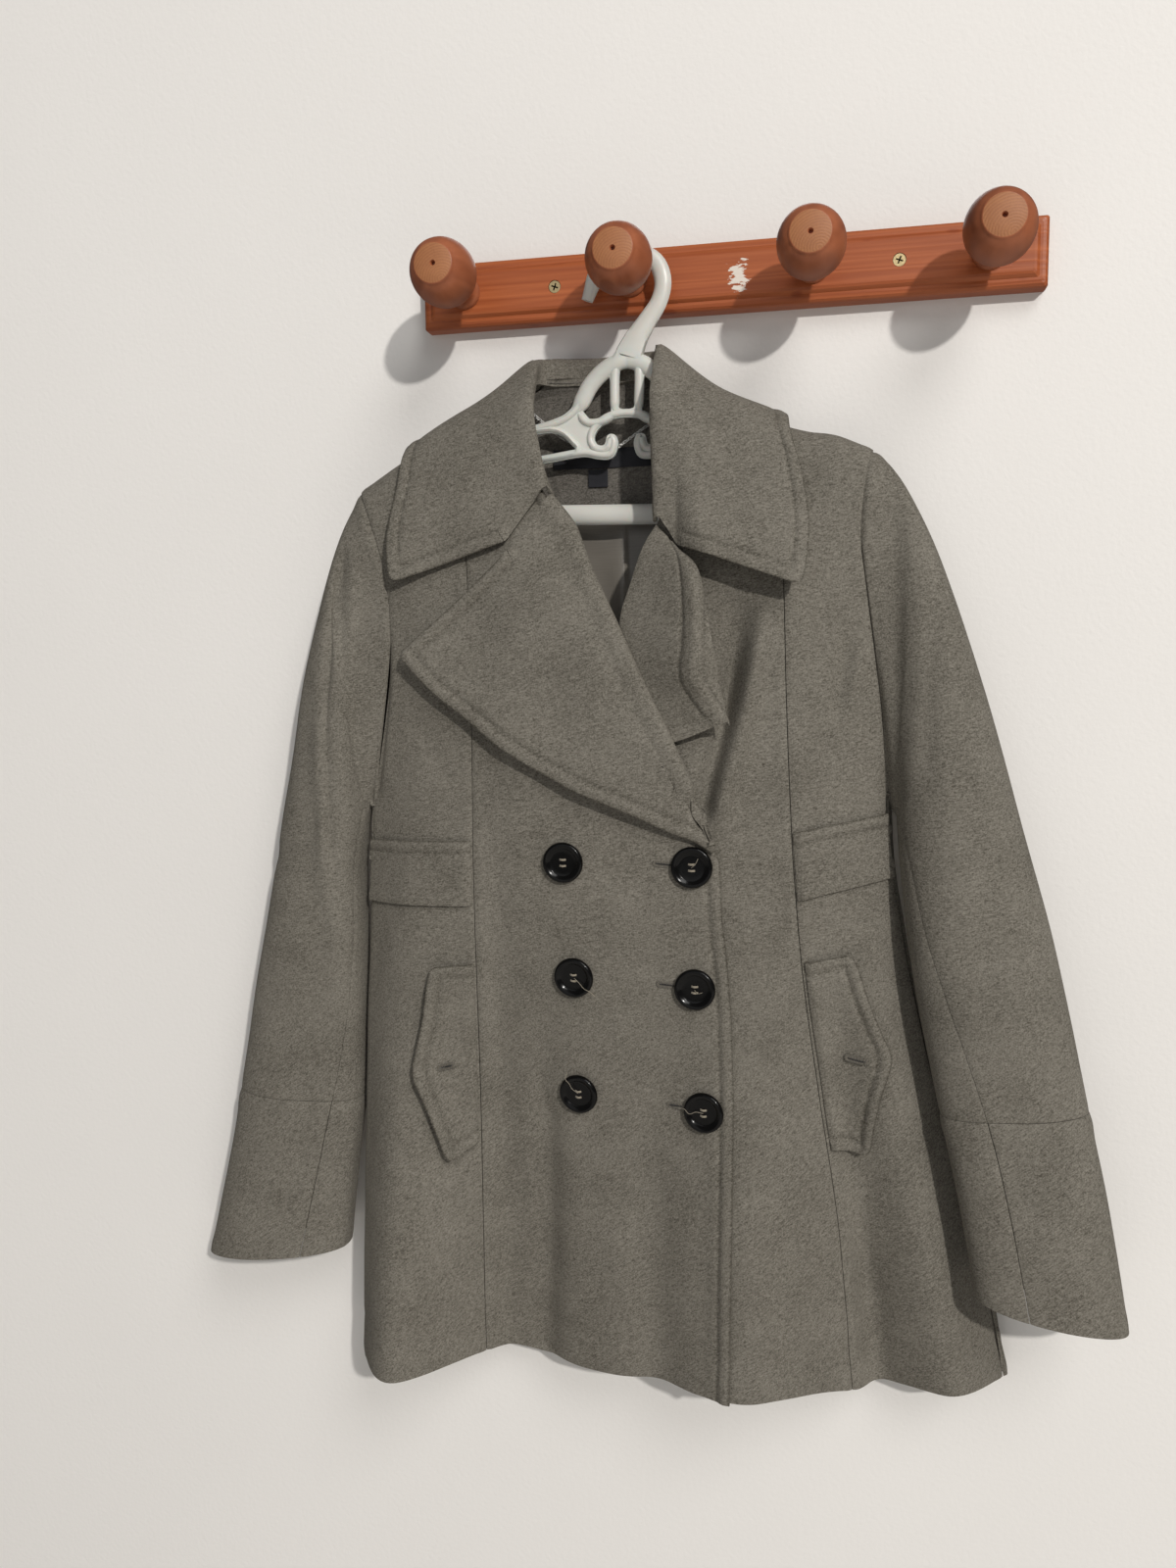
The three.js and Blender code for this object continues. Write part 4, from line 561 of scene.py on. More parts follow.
def shell(grid, s, v, h):
    """The same, moved out by h along the normal, away from the hollow."""
    s, v = (np.asarray(a, float).ravel() for a in np.broadcast_arrays(s, v))
    last_s, last_v, step = grid.shape[1] - 1, grid.shape[0] - 1, 0.02
    along = surface(grid, np.minimum(s + step, last_s), v) - surface(grid, np.maximum(s - step, 0), v)
    down = surface(grid, s, np.minimum(v + step, last_v)) - surface(grid, s, np.maximum(v - step, 0))
    normal = np.cross(down, along)
    normal /= np.linalg.norm(normal, axis=1)[:, None]
    return surface(grid, s, v) + normal * np.broadcast_to(h, s.shape)[:, None]


def row_height(row, x):
    follow, drop, z, _ = row
    level = z + TILT * (x - TILT_X)
    return level + (np.interp(x, *zip(*SHOULDER)) - drop - level) * follow


FRONT_GRID = np.array([[(x, -depth, row_height(row, x)) for x, depth in row[3]] for row in FRONT])
BACK_GRID = np.array([
    [FRONT_GRID[i][FRONT_LAST if k == 0 else 0] if station is None
     else (station[0], -station[1], row_height(FRONT[i], station[0])) for k, station in enumerate(row)]
    for i, row in enumerate(BACK)])


def halved(low, high, past):
    """The place between low and high where past stops being true."""
    for _ in range(24):
        middle = (low + high) / 2
        yes = past(middle)
        low, high = np.where(yes, middle, low), np.where(yes, high, middle)
    return (low + high) / 2


def edge_x(edge, z):
    return np.interp(-np.asarray(z), [-b for _, b in edge], [a for a, _ in edge])


def station_at_edge(v, edge):
    """Station of the front at which each row meets a free edge."""
    def inside(s):
        p = surface(FRONT_GRID, s, v)
        return p[:, 0] < edge_x(edge, p[:, 2])
    return halved(np.zeros_like(v), np.full_like(v, FRONT_LAST), inside)


def locate(grid, x, z):
    """Station and row of the points that lie at x and z."""
    x, z = (np.asarray(a, float).ravel() for a in np.broadcast_arrays(x, z))
    last_v, last_s = grid.shape[0] - 1, grid.shape[1] - 1
    ss, vv = (a.ravel() for a in np.meshgrid(np.linspace(0, last_s, 6 * last_s + 1),
                                             np.linspace(0, last_v, 6 * last_v + 1)))
    known = surface(grid, ss, vv)
    near = ((known[:, 0] - x[:, None]) ** 2 + (known[:, 2] - z[:, None]) ** 2).argmin(1)
    s, v = ss[near], vv[near]
    for _ in range(8):
        ds, dv = np.where(s > last_s - 0.01, -0.01, 0.01), np.where(v > last_v - 0.01, -0.01, 0.01)
        p = surface(grid, s, v)[:, (0, 2)]
        a = (surface(grid, s + ds, v)[:, (0, 2)] - p) / ds[:, None]
        b = (surface(grid, s, v + dv)[:, (0, 2)] - p) / dv[:, None]
        gap = np.stack([x, z], 1) - p
        det = a[:, 0] * b[:, 1] - a[:, 1] * b[:, 0]
        det = np.where(np.abs(det) < 1e-6, 1e-6, det)
        by_s = (gap[:, 0] * b[:, 1] - gap[:, 1] * b[:, 0]) / det
        by_v = (a[:, 0] * gap[:, 1] - a[:, 1] * gap[:, 0]) / det
        s = np.clip(s + np.clip(by_s, -0.5, 0.5), 0, last_s)
        v = np.clip(v + np.clip(by_v, -0.5, 0.5), 0, last_v)
    return s, v


def on_front(x, z, h):
    return shell(FRONT_GRID, *locate(FRONT_GRID, x, z), h)


def on_back(x, z, h):
    return shell(BACK_GRID, *locate(BACK_GRID, x, z), h)


def left_front_lift(x, z):
    """Height of the left front over the base, where it lies on the right one and on its lapel."""
    overlap = smooth((x + 178) / 40) * smooth((-108 - z) / 60)
    tucked = smooth((x + 118) / 40) * smooth((z + 388) / 40) * smooth((-236 - z) / 40)
    return (CLOTH + FRONT_PLY) * overlap + 4 * tucked


# ------------------------------------------------------------------------------------- creases
def crease(x, z, path, depth, width, fade_in, fade_out):
    """Depth at x and z of one crease along its path."""
    path = curve_through(path, np.linspace(0, len(path) - 1, 6 * len(path)))
    runs = np.linalg.norm(np.diff(path, axis=0), axis=1)
    starts, total = np.concatenate([[0], np.cumsum(runs)[:-1]]), runs.sum()
    nearest, share = np.full(x.shape, 1e9), np.zeros(x.shape)
    for (x0, z0), (x1, z1), run, start in zip(path[:-1], path[1:], runs, starts):
        t = np.clip(((x - x0) * (x1 - x0) + (z - z0) * (z1 - z0)) / run**2, 0, 1)
        far = np.hypot(x - x0 - t * (x1 - x0), z - z0 - t * (z1 - z0))
        share = np.where(far < nearest, (start + t * run) / total, share)
        nearest = np.minimum(far, nearest)
    fade = smooth(share / fade_in) * smooth((1 - share) / fade_out)
    return depth * fade * bell(nearest, 0, width)


def relief(x, z, creases, calm=()):
    """How far the cloth lies below its smooth form: the named creases and a faint unevenness,
    both gone round the calm places."""
    down = sum(crease(x, z, *row) for row in creases)
    down = down + 0.42 * np.sin(x / 21 + z / 47 + 1.3) * np.sin(z / 33 - x / 71) \
        + 0.26 * np.sin(x / 11.3 - z / 29 + 0.7) * np.sin(z / 17.1 + x / 37)
    for bx, bz in calm:
        down = down * smooth((np.hypot(x - bx, z - bz) - 17) / 20)
    return down


def front_relief(x, z):
    return relief(x, z, FRONT_CREASES, BUTTONS.values())


def back_relief(x, z):
    return relief(x, z, BACK_CREASES)


def under(points):
    """The same for the front under each point of a grid."""
    return front_relief(points[..., 0], points[..., 2])


# --------------------------------------------------------------------------------- cloth pieces
def run_of(points):
    """Length along each row up to each of its points."""
    steps = np.linalg.norm(np.diff(points, axis=-2), axis=-1)
    return np.concatenate([np.zeros(steps.shape[:-1] + (1,)), np.cumsum(steps, -1)], -1)


def graded(length, count, near, far):
    """Places along a row of this length, close together near its two ends."""
    near, far = np.array(near, float), np.array(far, float)
    squeeze = min(1, 0.8 * length / (near[-1] + far[-1] + 1))
    near, far = near * squeeze, far * squeeze
    middle = np.linspace(near[-1], length - far[-1], count + 2)[1:-1]
    return np.concatenate([near, middle, length - far[::-1]])


# Places of the grid's lines next to a topstitched edge and next to a seam.
EDGE = (0, 1.2, 2.6, 4.4, 6.4, 8.4, STITCH, 11.4, 13.6)
JOIN = (0, 1.0, 2.2, 4.0, 6.5)


def across(points, count, near=JOIN, far=JOIN):
    """Lays each row's points out again by length, fine at the two edges, with what they carry
    beyond x, y and z. Also gives each one's distance from the row's start and end."""
    out, starts, ends = [], [], []
    for row in points:
        run = run_of(row[:, :3])
        at = graded(run[-1], count, near, far)
        out.append(np.stack([np.interp(at, run, row[:, i]) for i in range(row.shape[1])], 1))
        starts.append(at)
        ends.append(run[-1] - at)
    return np.array(out), np.array(starts), np.array(ends)


def down_columns(points):
    """Length down each column up to each of its points."""
    return run_of(points.transpose(1, 0, 2)).T


def behind(points, by=60):
    """A point on the hollow side of a piece."""
    return points.mean((0, 1)) + np.array([0, by, 0])


def normals(points, inside):
    """Unit normals of a grid of points, on the side away from the point inside."""
    n = np.cross(np.gradient(points, axis=0), np.gradient(points, axis=1))
    n /= np.linalg.norm(n, axis=2)[..., None] + 1e-9
    r, c = points.shape[0] // 2, points.shape[1] // 2
    return n if n[r, c] @ (points[r, c] - np.asarray(inside, float)) > 0 else -n


def raised(points, inside, by):
    """The grid moved out along its normals."""
    return points + normals(points, inside) * by[..., None]


def mesh_from(bm, name):
    mesh = bpy.data.meshes.new(name)
    bm.to_mesh(mesh)
    bm.free()
    return mesh


def link(name, mesh, *finishes):
    for finish in finishes:
        mesh.materials.append(finish)
    piece = bpy.data.objects.new(name, mesh)
    bpy.context.scene.collection.objects.link(piece)
    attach(piece, "root")
    return piece


# Distance given where there is no stitched edge, and a share of a cut's box.
NO_STITCH, LEAST_FILL = 900.0, 0.31


def cloth(node, points, inside, finish=None, thick=CLOTH, side=-1, edge=None, run=None,
          soft_rim=0.8):
    """A piece of cloth on a grid of points of its outer face; edge is each point's distance from
    the nearest topstitched edge and run its place along that edge."""
    rows, columns = points.shape[:2]
    bm = bmesh.new()
    bmesh.ops.create_grid(bm, x_segments=columns - 1, y_segments=rows - 1, size=0.5)
    bm.verts.ensure_lookup_table()
    places = points.reshape(-1, 3) * MM
    for vert, place in zip(bm.verts, places):
        vert.co = place
    outward = normals(points, inside)[rows // 2, columns // 2]
    turn = np.cross(np.gradient(points, axis=1), np.gradient(points, axis=0))[rows // 2, columns // 2]
    if turn @ outward < 0:
        bmesh.ops.reverse_faces(bm, faces=bm.faces[:])
    mesh = mesh_from(bm, node + "_cloth")
    mesh.polygons.foreach_set("use_smooth", np.ones(len(mesh.polygons), bool))
    layer = mesh.uv_layers.new(name="stitching")
    corner = np.empty(len(mesh.loops), np.int32)
    mesh.loops.foreach_get("vertex_index", corner)
    edge = np.full((rows, columns), NO_STITCH) if edge is None else edge
    run = np.cumsum(np.ones((rows, columns)), 0) if run is None else run
    uv = np.stack([edge.ravel(), run.ravel()], 1)[corner] * MM
    layer.data.foreach_set("uv", uv.astype(np.float32).ravel())
    piece = link(node + "_cloth", mesh, finish or WOOL)
    body = piece.modifiers.new("Thickness", "SOLIDIFY")
    body.thickness, body.offset = thick * MM, side
    rim = piece.modifiers.new("Soft rim", "BEVEL")
    rim.width, rim.segments, rim.limit_method = soft_rim * MM, 2, "ANGLE"
    rim.angle_limit = math.radians(50)
    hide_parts(node)
    cut = tuple(max(0.01, round(long.max() * MM, 3)) for long in (run_of(points), down_columns(points)))
    return piece


# ---------------------------------------------------------------------------------- body panels
LAST_ROW, ROW_TALL = len(FRONT) - 1, 64
HEM_ROWS = LAST_ROW - np.array([10, 6, 3.5, 1.8, 0.8, 0]) / ROW_TALL
BODY_V = np.concatenate([np.linspace(0, 11.78, 132), HEM_ROWS])


def beside(grid, s, way):
    """Stations half a seam's gap in from a seam."""
    here, there = shell(grid, s, BODY_V, 0), shell(grid, s + way * 0.05, BODY_V, 0)
    return s + way * 0.05 * SEAM / 2 / np.linalg.norm(there - here, axis=1)


def body_panel(node, grid, start, end, count, sink, near=JOIN, far=JOIN, lift=None, stitched=False):
    """A length of front or back between two lines of stations; near and far say how its grid
    lies at each, sink how deep it is creased and lift how far it lies over the base."""
    share = np.linspace(0, 1, 80)
    stations = start[:, None] + (end - start)[:, None] * share
    line = np.concatenate([
        surface(grid, stations.ravel(), np.repeat(BODY_V, 80)).reshape(len(BODY_V), 80, 3),
        stations[..., None]], 2)
    laid, from_start, from_end = across(line, count, near, far)
    s = laid[..., 3]
    v = np.repeat(BODY_V[:, None], s.shape[1], 1)
    base = surface(grid, s, v)
    h = CLOTH + (lift(base[:, 0], base[:, 2]) if lift else 0)
    points = shell(grid, s, v, h).reshape(*s.shape, 3)
    inside = behind(points, 60 if grid is FRONT_GRID else -60)
    down = sink(points[..., 0], points[..., 2])
    # A seam is drawn in, with a slight swell beside it.
    for is_join, far_off in ((near is JOIN, from_start), (far is JOIN, from_end)):
        if is_join:
            down = down + 0.45 * bell(far_off, 0, 1.7) - 0.3 * bell(far_off, 5, 3)
    if stitched:
        down = down - stitched_border(from_end, 0.7, 4.6, 3.2, 0.6, 2.4)
    # The turned-up hem swells, and is drawn in along its top.
    hem = (LAST_ROW - v) * ROW_TALL
    down = down - 0.7 * bell(hem, 12, 9) + 0.7 * bell(hem, 36, 5)
    points = raised(points, inside, -down)
    if grid is FRONT_GRID:
        # The hem dips where the right side hangs lowest.
        points[..., 2] -= 7 * bell(points[..., 0], 118, 30) * smooth((-700 - points[..., 2]) / 130)
    return cloth(node, points, inside, edge=from_end if stitched else None,
                 run=down_columns(points))


LEFT_EDGE = station_at_edge(BODY_V, LEFT_FRONT_EDGE)
RIGHT_EDGE = station_at_edge(BODY_V, RIGHT_FRONT_EDGE)
body_panel("front_left_side", FRONT_GRID, beside(FRONT_GRID, 0, 1),
           beside(FRONT_GRID, PRINCESS_L, -1), 34, front_relief)
body_panel("front_left_centre", FRONT_GRID, beside(FRONT_GRID, PRINCESS_L, 1), LEFT_EDGE, 72,
           front_relief, far=EDGE, lift=left_front_lift, stitched=True)
body_panel("front_right_centre", FRONT_GRID, RIGHT_EDGE, beside(FRONT_GRID, PRINCESS_R, -1), 62,
           front_relief, near=EDGE)
body_panel("front_right_side", FRONT_GRID, beside(FRONT_GRID, PRINCESS_R, 1),
           beside(FRONT_GRID, FRONT_LAST, -1), 34, front_relief)
body_panel("back_right", BACK_GRID, beside(BACK_GRID, 0, 1), beside(BACK_GRID, BACK_CENTRE, -1), 56,
           back_relief)
body_panel("back_left", BACK_GRID, beside(BACK_GRID, BACK_CENTRE, 1), beside(BACK_GRID, BACK_LAST, -1),
           56, back_relief)


# ------------------------------------------------------------------------------ lapels, collar
def left_stack(x, z):
    return CLOTH + left_front_lift(x, z)


free_edge = surface(FRONT_GRID, LEFT_EDGE, BODY_V)
# How far a sewn end counts as lying inside its free edge, and how soon past a notch it is free.
SEWN, NOTCH = 40, 9
# Where the lapel turns under its roll line: places past the line and heights there.
ROLL = ((-4, -1.6), (-4.6, 1.8), (-2.2, 5.8), (5, 6.6), (13, 5.2))


def lapel_left_control(at):
    """Rows of control points of the left lapel's outer face, from under the roll to the edge."""
    rows = []
    table = [np.array([row[k] for row in LEFT_LAPEL]) for k in range(3)]
    puffs = np.array([[row[3]] for row in LEFT_LAPEL])
    for t in at:
        roll, mid, edge = (curve_through(part, [t])[0] for part in table)
        puff = curve_through(puffs, [t])[0][0]
        roll = np.array([np.interp(-roll[1], -free_edge[:, 2], free_edge[:, 0]), roll[1]])
        length = np.linalg.norm(mid - roll) + np.linalg.norm(edge - mid)
        scale = min(1, length / 40)
        outward = (roll - mid) / np.linalg.norm(roll - mid)
        places = [(*(roll - outward * past * scale), CLOTH + (high if past < 0 else high * scale), 0)
                  for past, high in ROLL]
        start = 0.02 + 13 * scale / np.linalg.norm(roll - mid)
        for share in (0.3, 0.42, 0.56, 0.7, 0.85, 1):
            p = curve_through([roll, mid, edge], [max(share * 2, start)])[0]
            bulge = puff * math.sin(math.pi * min(1, 0.15 + share * 0.85)) * 0.6
            places.append((*p, 2 * CLOTH + PLY + 0.6 + bulge, 0))
        rows.append(places)
    return np.array(rows)


def from_rows(points):
    """Distance of each point from the first row and from the last, along the columns."""
    down = down_columns(points)
    return down, down[-1] - down


def round_corner(points, from_side, from_end, way, radius):
    """Draws a square corner in to a quarter circle; way is 1 at the first row, -1 at the last."""
    a, b = np.clip(1 - from_side / radius, 0, 1), np.clip(1 - from_end / radius, 0, 1)
    along, down = (np.gradient(points, axis=k) for k in (1, 0))
    along, down = (d / (np.linalg.norm(d, axis=2)[..., None] + 1e-9) for d in (along, down))
    back_by = radius * a * (1 - np.sqrt(1 - b * b / 2))
    down_by = radius * b * (1 - np.sqrt(1 - a * a / 2)) * way
    return points - along * back_by[..., None] + down * down_by[..., None]


lapel_at = np.concatenate([[0, 0.03, 0.07, 0.12, 0.18, 0.25, 0.33, 0.4], np.linspace(0.5, 8, 76)])
control = lapel_left_control(lapel_at)
flat = control.reshape(-1, 4)
spread = on_front(flat[:, 0], flat[:, 1], flat[:, 2] + left_front_lift(flat[:, 0], flat[:, 1]))
spread = spread.reshape(*control.shape[:2], 3)
fine = np.stack([curve_through(row, np.linspace(0, 10, 121)) for row in spread])
points, from_roll, from_edge = across(fine, 34, near=(0, 1.5, 3, 4.5, 6, 8), far=EDGE)
inside = behind(points)
from_top, from_low = from_rows(points)
# Sewn to the collar up to the notch, free beyond it.
top_edge = from_top + SEWN * (1 - smooth((from_roll - 52) / NOTCH))
points = round_corner(points, from_edge, top_edge, 1, 7)
# The free edge stands off the front and throws its shadow on it.
stand = 8.5 * bell(from_edge, 0, 28) * smooth(from_low / 80) * smooth(from_top / 30 + 0.5)
puff = stitched_border(from_edge, 0.9, 4.6, 3.2, 0.6, 2.6) \
    + stitched_border(top_edge, 1.0, 4.6, 3.2, 0.7, 2.4) + 2.6 * bell(top_edge, 0, 11)
points = raised(points, inside, stand + puff - under(points) * 0.6)
cloth("lapel_left", points, inside, edge=np.minimum(from_edge, top_edge), run=down_columns(points))

lapel_at = np.linspace(0, 6, 66)
parts = [curve_through([row[k] for row in RIGHT_LAPEL], lapel_at) for k in range(3)]
rises = curve_through([[row[3]] for row in RIGHT_LAPEL], lapel_at)[:, 0]
share = np.linspace(0, 1, 60)
places = np.stack([curve_through(three, share * 2) for three in np.stack(parts, 1)])
high = CLOTH * 1.5 + PLY + 0.4 + 1.55 * rises[:, None] * share**1.15
# Past its crest the edge bends over and away to the right.
lip_edge = curve_through(RIGHT_LIP, lapel_at)
over = np.linspace(0, 1, 13)[1:, None]
lip = parts[2][:, None] * (1 - over) + lip_edge[:, None] * over
fall = np.linalg.norm(lip_edge - parts[2], axis=1)[:, None] * 0.72 * over.T**1.6
places = np.concatenate([places, lip], 1)
high = np.concatenate([high, high[:, -1:] - fall], 1)
fine = on_front(places[..., 0], places[..., 1], high.ravel()).reshape(*high.shape, 3)
crest = np.array([run_of(row)[59] for row in fine])[:, None]
points, from_roll, _ = across(fine, 44, near=JOIN, far=(0, 1, 2, 3.2, 4.6, 6, 7.6, 9.2, 11, 13, 15, 17))
inside = behind(points)
from_top, from_low = from_rows(points)
from_crest = np.abs(crest - from_roll)
puff = stitched_border(from_crest, 0.5, 4.8, 3.2, 0.4, 2.6)
wave = 1.3 * np.sin(from_top / 17 + 0.6) * bell(from_crest, 0, 16)
points = raised(points, inside, puff + wave * smooth(from_top / 30))
cloth("lapel_right", points, inside, side=0, edge=np.maximum(3, np.minimum(from_crest, from_low)),
      run=down_columns(points))

collar_control = []
for kind, *row in COLLAR:
    row = np.array(row, float)
    collar_control.append(on_front(row[:, 0], row[:, 1], row[:, 2]) if kind == "front" else row)
collar_control = np.array(collar_control)
ends = np.array([0, 0.04, 0.09, 0.15, 0.22, 0.3, 0.36, 0.42])
collar_at = np.concatenate([ends, np.linspace(0.5, 13.5, 180), 14 - ends[::-1]])
columns = np.linspace(0, 4, 101)
fine = sampled(collar_control, columns, collar_at)
# Towards each end the edge turns sharply at the notch.
corners = sampled(collar_control, np.arange(5), collar_at)
straight = np.stack([[np.interp(columns, np.arange(5), row[:, k]) for k in range(3)]
                     for row in corners])
near_end = bell(np.minimum(collar_at, 14 - collar_at), 0, 0.4)[:, None, None]
fold_off = smooth((columns - 2) / 0.4)[None, :, None]
fine = fine + (straight.transpose(0, 2, 1) - fine) * near_end * fold_off
points, from_neck, from_edge = across(fine, 40, near=JOIN, far=EDGE)
middle = points.shape[0] // 2, points.shape[1] // 2
out = normals(points, points[middle] + np.array([0, -50, 0]))
from_first, from_last = from_rows(points)
# Each end is sewn to its lapel up to the notch and free beyond it.
sewn_first, sewn_last = (1 - smooth((from_neck - notch) / NOTCH) for notch in (54, 30))
free_first, free_last = from_first + SEWN * sewn_first, from_last + SEWN * sewn_last
points = round_corner(points, from_edge, free_first, 1, 8)
points = round_corner(points, from_edge, free_last, -1, 8)
from_end = np.minimum(np.minimum(from_edge, free_first), free_last)
on_fall = smooth((from_neck - 14) / 12)
puff = stitched_border(from_end, 0.7, 4.8, 3.4, 0.4, 2.8)
puff = puff - 2.6 * sewn_first * bell(from_first, 0, 6) - 1.2 * sewn_last * bell(from_last, 0, 6)
x, z = points[..., 0], points[..., 2]
sag = 1.1 * np.sin(x / 23 + z / 19) * np.sin(z / 31 - x / 27 + 0.8) * on_fall
points = points + out * ((puff + sag) * on_fall)[..., None]
# The ends of the fall stand a little off the front.
tip = bell(np.minimum(free_first, free_last), 0, 45) * bell(from_edge, 0, 34)
lower = 15 * bell(free_last, 0, 42) * smooth((from_neck - 24) / 34)
points[..., 1] -= np.where(from_first < from_last, 7.5 * tip, lower)
cloth("collar", points, points[middle] + np.array([0, -50, 0]), side=0, edge=from_end,
      run=down_columns(points))


# ------------------------------------------------------------------- waist tabs, pocket flaps
def row_at(s, z):
    """Row of the front at which station s has height z."""
    return halved(np.zeros_like(z), np.full_like(z, LAST_ROW),
                  lambda v: surface(FRONT_GRID, s, v)[:, 2] > z)


def waist_tab(node, tab, seam, side):
    """A stitched tab between two stations of the front."""
    c = np.clip(np.linspace(0, 1, 44), 0.015, 0.97)
    tall, border = tab[0] - tab[2], np.array(EDGE[:7])
    r = np.concatenate([border, np.linspace(12, tall - 12, 14), tall - border[::-1]]) / tall
    c, r = np.meshgrid(c, r)
    top, low = (at_seam + (at_side - at_seam) * c for at_seam, at_side in (tab[:2], tab[2:]))
    z = top * (1 - r) + low * r
    s = seam + (side - seam) * c
    v = row_at(s.ravel(), z.ravel())
    points = shell(FRONT_GRID, s.ravel(), v, CLOTH + 2.75).reshape(*c.shape, 3)
    inside = behind(points)
    from_edge = np.minimum(r, 1 - r) * tall
    puff = stitched_border(from_edge, 0.8, 4.6, 3.2, 0.2, 2.8) + 0.25
    puff = puff - 2.6 * bell(c * 50, 0, 2.4)
    points = raised(points, inside, puff - under(points))
    return cloth(node, points, inside, edge=r * tall, run=run_of(points), thick=1.8)


waist_tab("waist_tab_left", WAIST_LEFT, PRINCESS_L, 0)
waist_tab("waist_tab_right", WAIST_RIGHT, PRINCESS_R, FRONT_LAST)


def pocket_flap(node, table, seam, way, stand):
    """A flap from a seam of the front to its shaped edge, which stands off by a little."""
    table = np.array(table, float)
    t = np.concatenate([[0, 0.1, 0.25, 0.5, 0.8], np.linspace(1.05, 7, 50), [7.2, 7.5, 7.75, 7.9, 8]])
    row = curve_through(table, t)
    at_seam = np.full(len(t), float(seam))
    start = shell(FRONT_GRID, at_seam, row_at(at_seam, row[:, 0]), 0)
    share = np.linspace(0.02, 1, 50)
    x = between(start[:, 0] + way, row[:, 1], share)
    z = between(row[:, 0], row[:, 2], share)
    h = 2 * CLOTH + 1.3 + 2.0 * share**2
    fine = on_front(x.ravel(), z.ravel(), np.tile(h, len(t))).reshape(len(t), 50, 3)
    points, from_seam, from_side = across(fine, 20, near=(0, 1.5, 3), far=EDGE[:8])
    from_top, from_low = from_rows(points)
    from_edge = np.minimum(np.minimum(from_side, from_top), from_low)
    inside = behind(points)
    puff = stitched_border(from_edge, 1.0, 4.4, 3.0, 0.7, 2.6)
    lifted = stand * bell(from_side, 0, 16) * smooth(from_top / 26) - 2.8 * bell(from_seam, 0, 2.4)
    points = raised(points, inside, puff + lifted - 0.4 * under(points))
    return cloth(node, points, inside, edge=from_edge, run=run_of(points))


pocket_flap("pocket_flap_left", POCKET_LEFT, PRINCESS_L, -1.2, 4.5)
pocket_flap("pocket_flap_right", POCKET_RIGHT, PRINCESS_R, 1.2, 2.5)

# ------------------------------------------------------------------------------------- sleeves
RING = 32


def armhole_ring(side):
    t = np.arange(RING + 1) / RING
    v = UNDERARM * np.where(t < 0.5, 1 - 2 * t, 2 * t - 1)
    front = shell(FRONT_GRID, np.full(RING + 1, 0.0 if side == "left" else FRONT_LAST), v, CLOTH)
    back = shell(BACK_GRID, np.full(RING + 1, float(BACK_LAST) if side == "left" else 0.0), v, CLOTH)
    ring = np.where((t < 0.5)[:, None], front, back)
    ring[:, 0] += 0.5 if side == "left" else -0.5
    ring[:, 2] += np.where(v < 0.3, 0.8, 0)
    return ring


def sleeve_ring(inner, outer, depth, half, ridge, rise):
    """A ring round the sleeve, from its inner side over the front to the outer side and back."""
    a = np.arange(RING + 1) / RING * 2 * math.pi
    sine = np.where(np.abs(np.sin(a)) < 1e-9, 0, np.sin(a))
    lean = np.sign(sine) * np.abs(sine) ** 0.8
    way = 0.5 - 0.5 * np.cos(a)
    x, z = (inner[i] + (outer[i] - inner[i]) * way for i in (0, 1))
    fold = rise * bell(way, ridge, np.where(way < ridge, 0.35, 0.16)) * np.clip(lean * 2, 0, 1)
    return np.stack([x, -depth - lean * half - fold, z], 1)


def sleeve(side, table):
    """Upper and under sleeve, and the same of the cuff, cut from one run of rings."""
    rings = np.array([armhole_ring(side)] + [sleeve_ring(*row[:4], *row[6:]) for row in table])
    seams = np.array([row[4:6] for row in table[:1] + table])
    share = (np.arccos(1 - 2 * seams) / (2 * math.pi)).T
    last = len(table)

    def point(k, t):
        return surface(rings, (t - np.floor(t)) * RING, k)

    arm = np.concatenate([[0, 0.02, 0.05, 0.1], np.linspace(0.16, 6.9, 96),
                          [6.94, 6.97, CUFF_ROW - 0.002]])
    cuff = np.concatenate([[CUFF_ROW + 0.002, 7.03, 7.06], np.linspace(7.1, last - 0.1, 26),
                           last - np.array([0.06, 0.03, 0.012, 0])])
    for part, rows in (("sleeve", arm), ("cuff", cuff)):
        front, rear = (curve_through(s[:, None], rows)[:, 0] for s in share)
        for name, start, end, count in (("upper", front, 1 - rear, 72), ("under", -rear, front, 34)):
            line = (start + 0.0005)[:, None] + (end - start - 0.001)[:, None] * np.linspace(0, 1, 120)
            fine = point(np.repeat(rows, 120), line.ravel()).reshape(len(rows), 120, 3)
            points, *from_seams = across(fine, count)
            middle = point(np.repeat(rows[len(rows) // 2], 2), np.array([0, 0.5])).mean(0)
            # Only the side towards the room is creased.
            facing = smooth(-normals(points, middle)[..., 1] * 1.6 + 0.1)
            down = relief(points[..., 0], points[..., 2], SLEEVE_CREASES[side]) * facing
            for off in from_seams:
                down = down + 0.5 * bell(off, 0, 2.2) * smooth((rows[:, None] - 0.6) / 0.8)
            top, low = from_rows(points)
            if part == "sleeve":
                # Drawn in where it is set into the armhole, with a swell below.
                set_in = 1.5 * bell(top, 0, 2.2) * smooth((points[..., 2] + 384) / 30)
                down = down + set_in - 0.6 * bell(top, 7, 4) + 0.4 * bell(low, 0, 2.2)
            else:
                down = down + 0.4 * bell(top, 0, 2.2) - 0.8 * bell(top, 9, 7) - 0.4 * bell(low, 8, 6)
            cloth(f"{part}_{side}_{name}", raised(points, middle, -down), middle)


sleeve("left", SLEEVE_LEFT)
sleeve("right", SLEEVE_RIGHT)


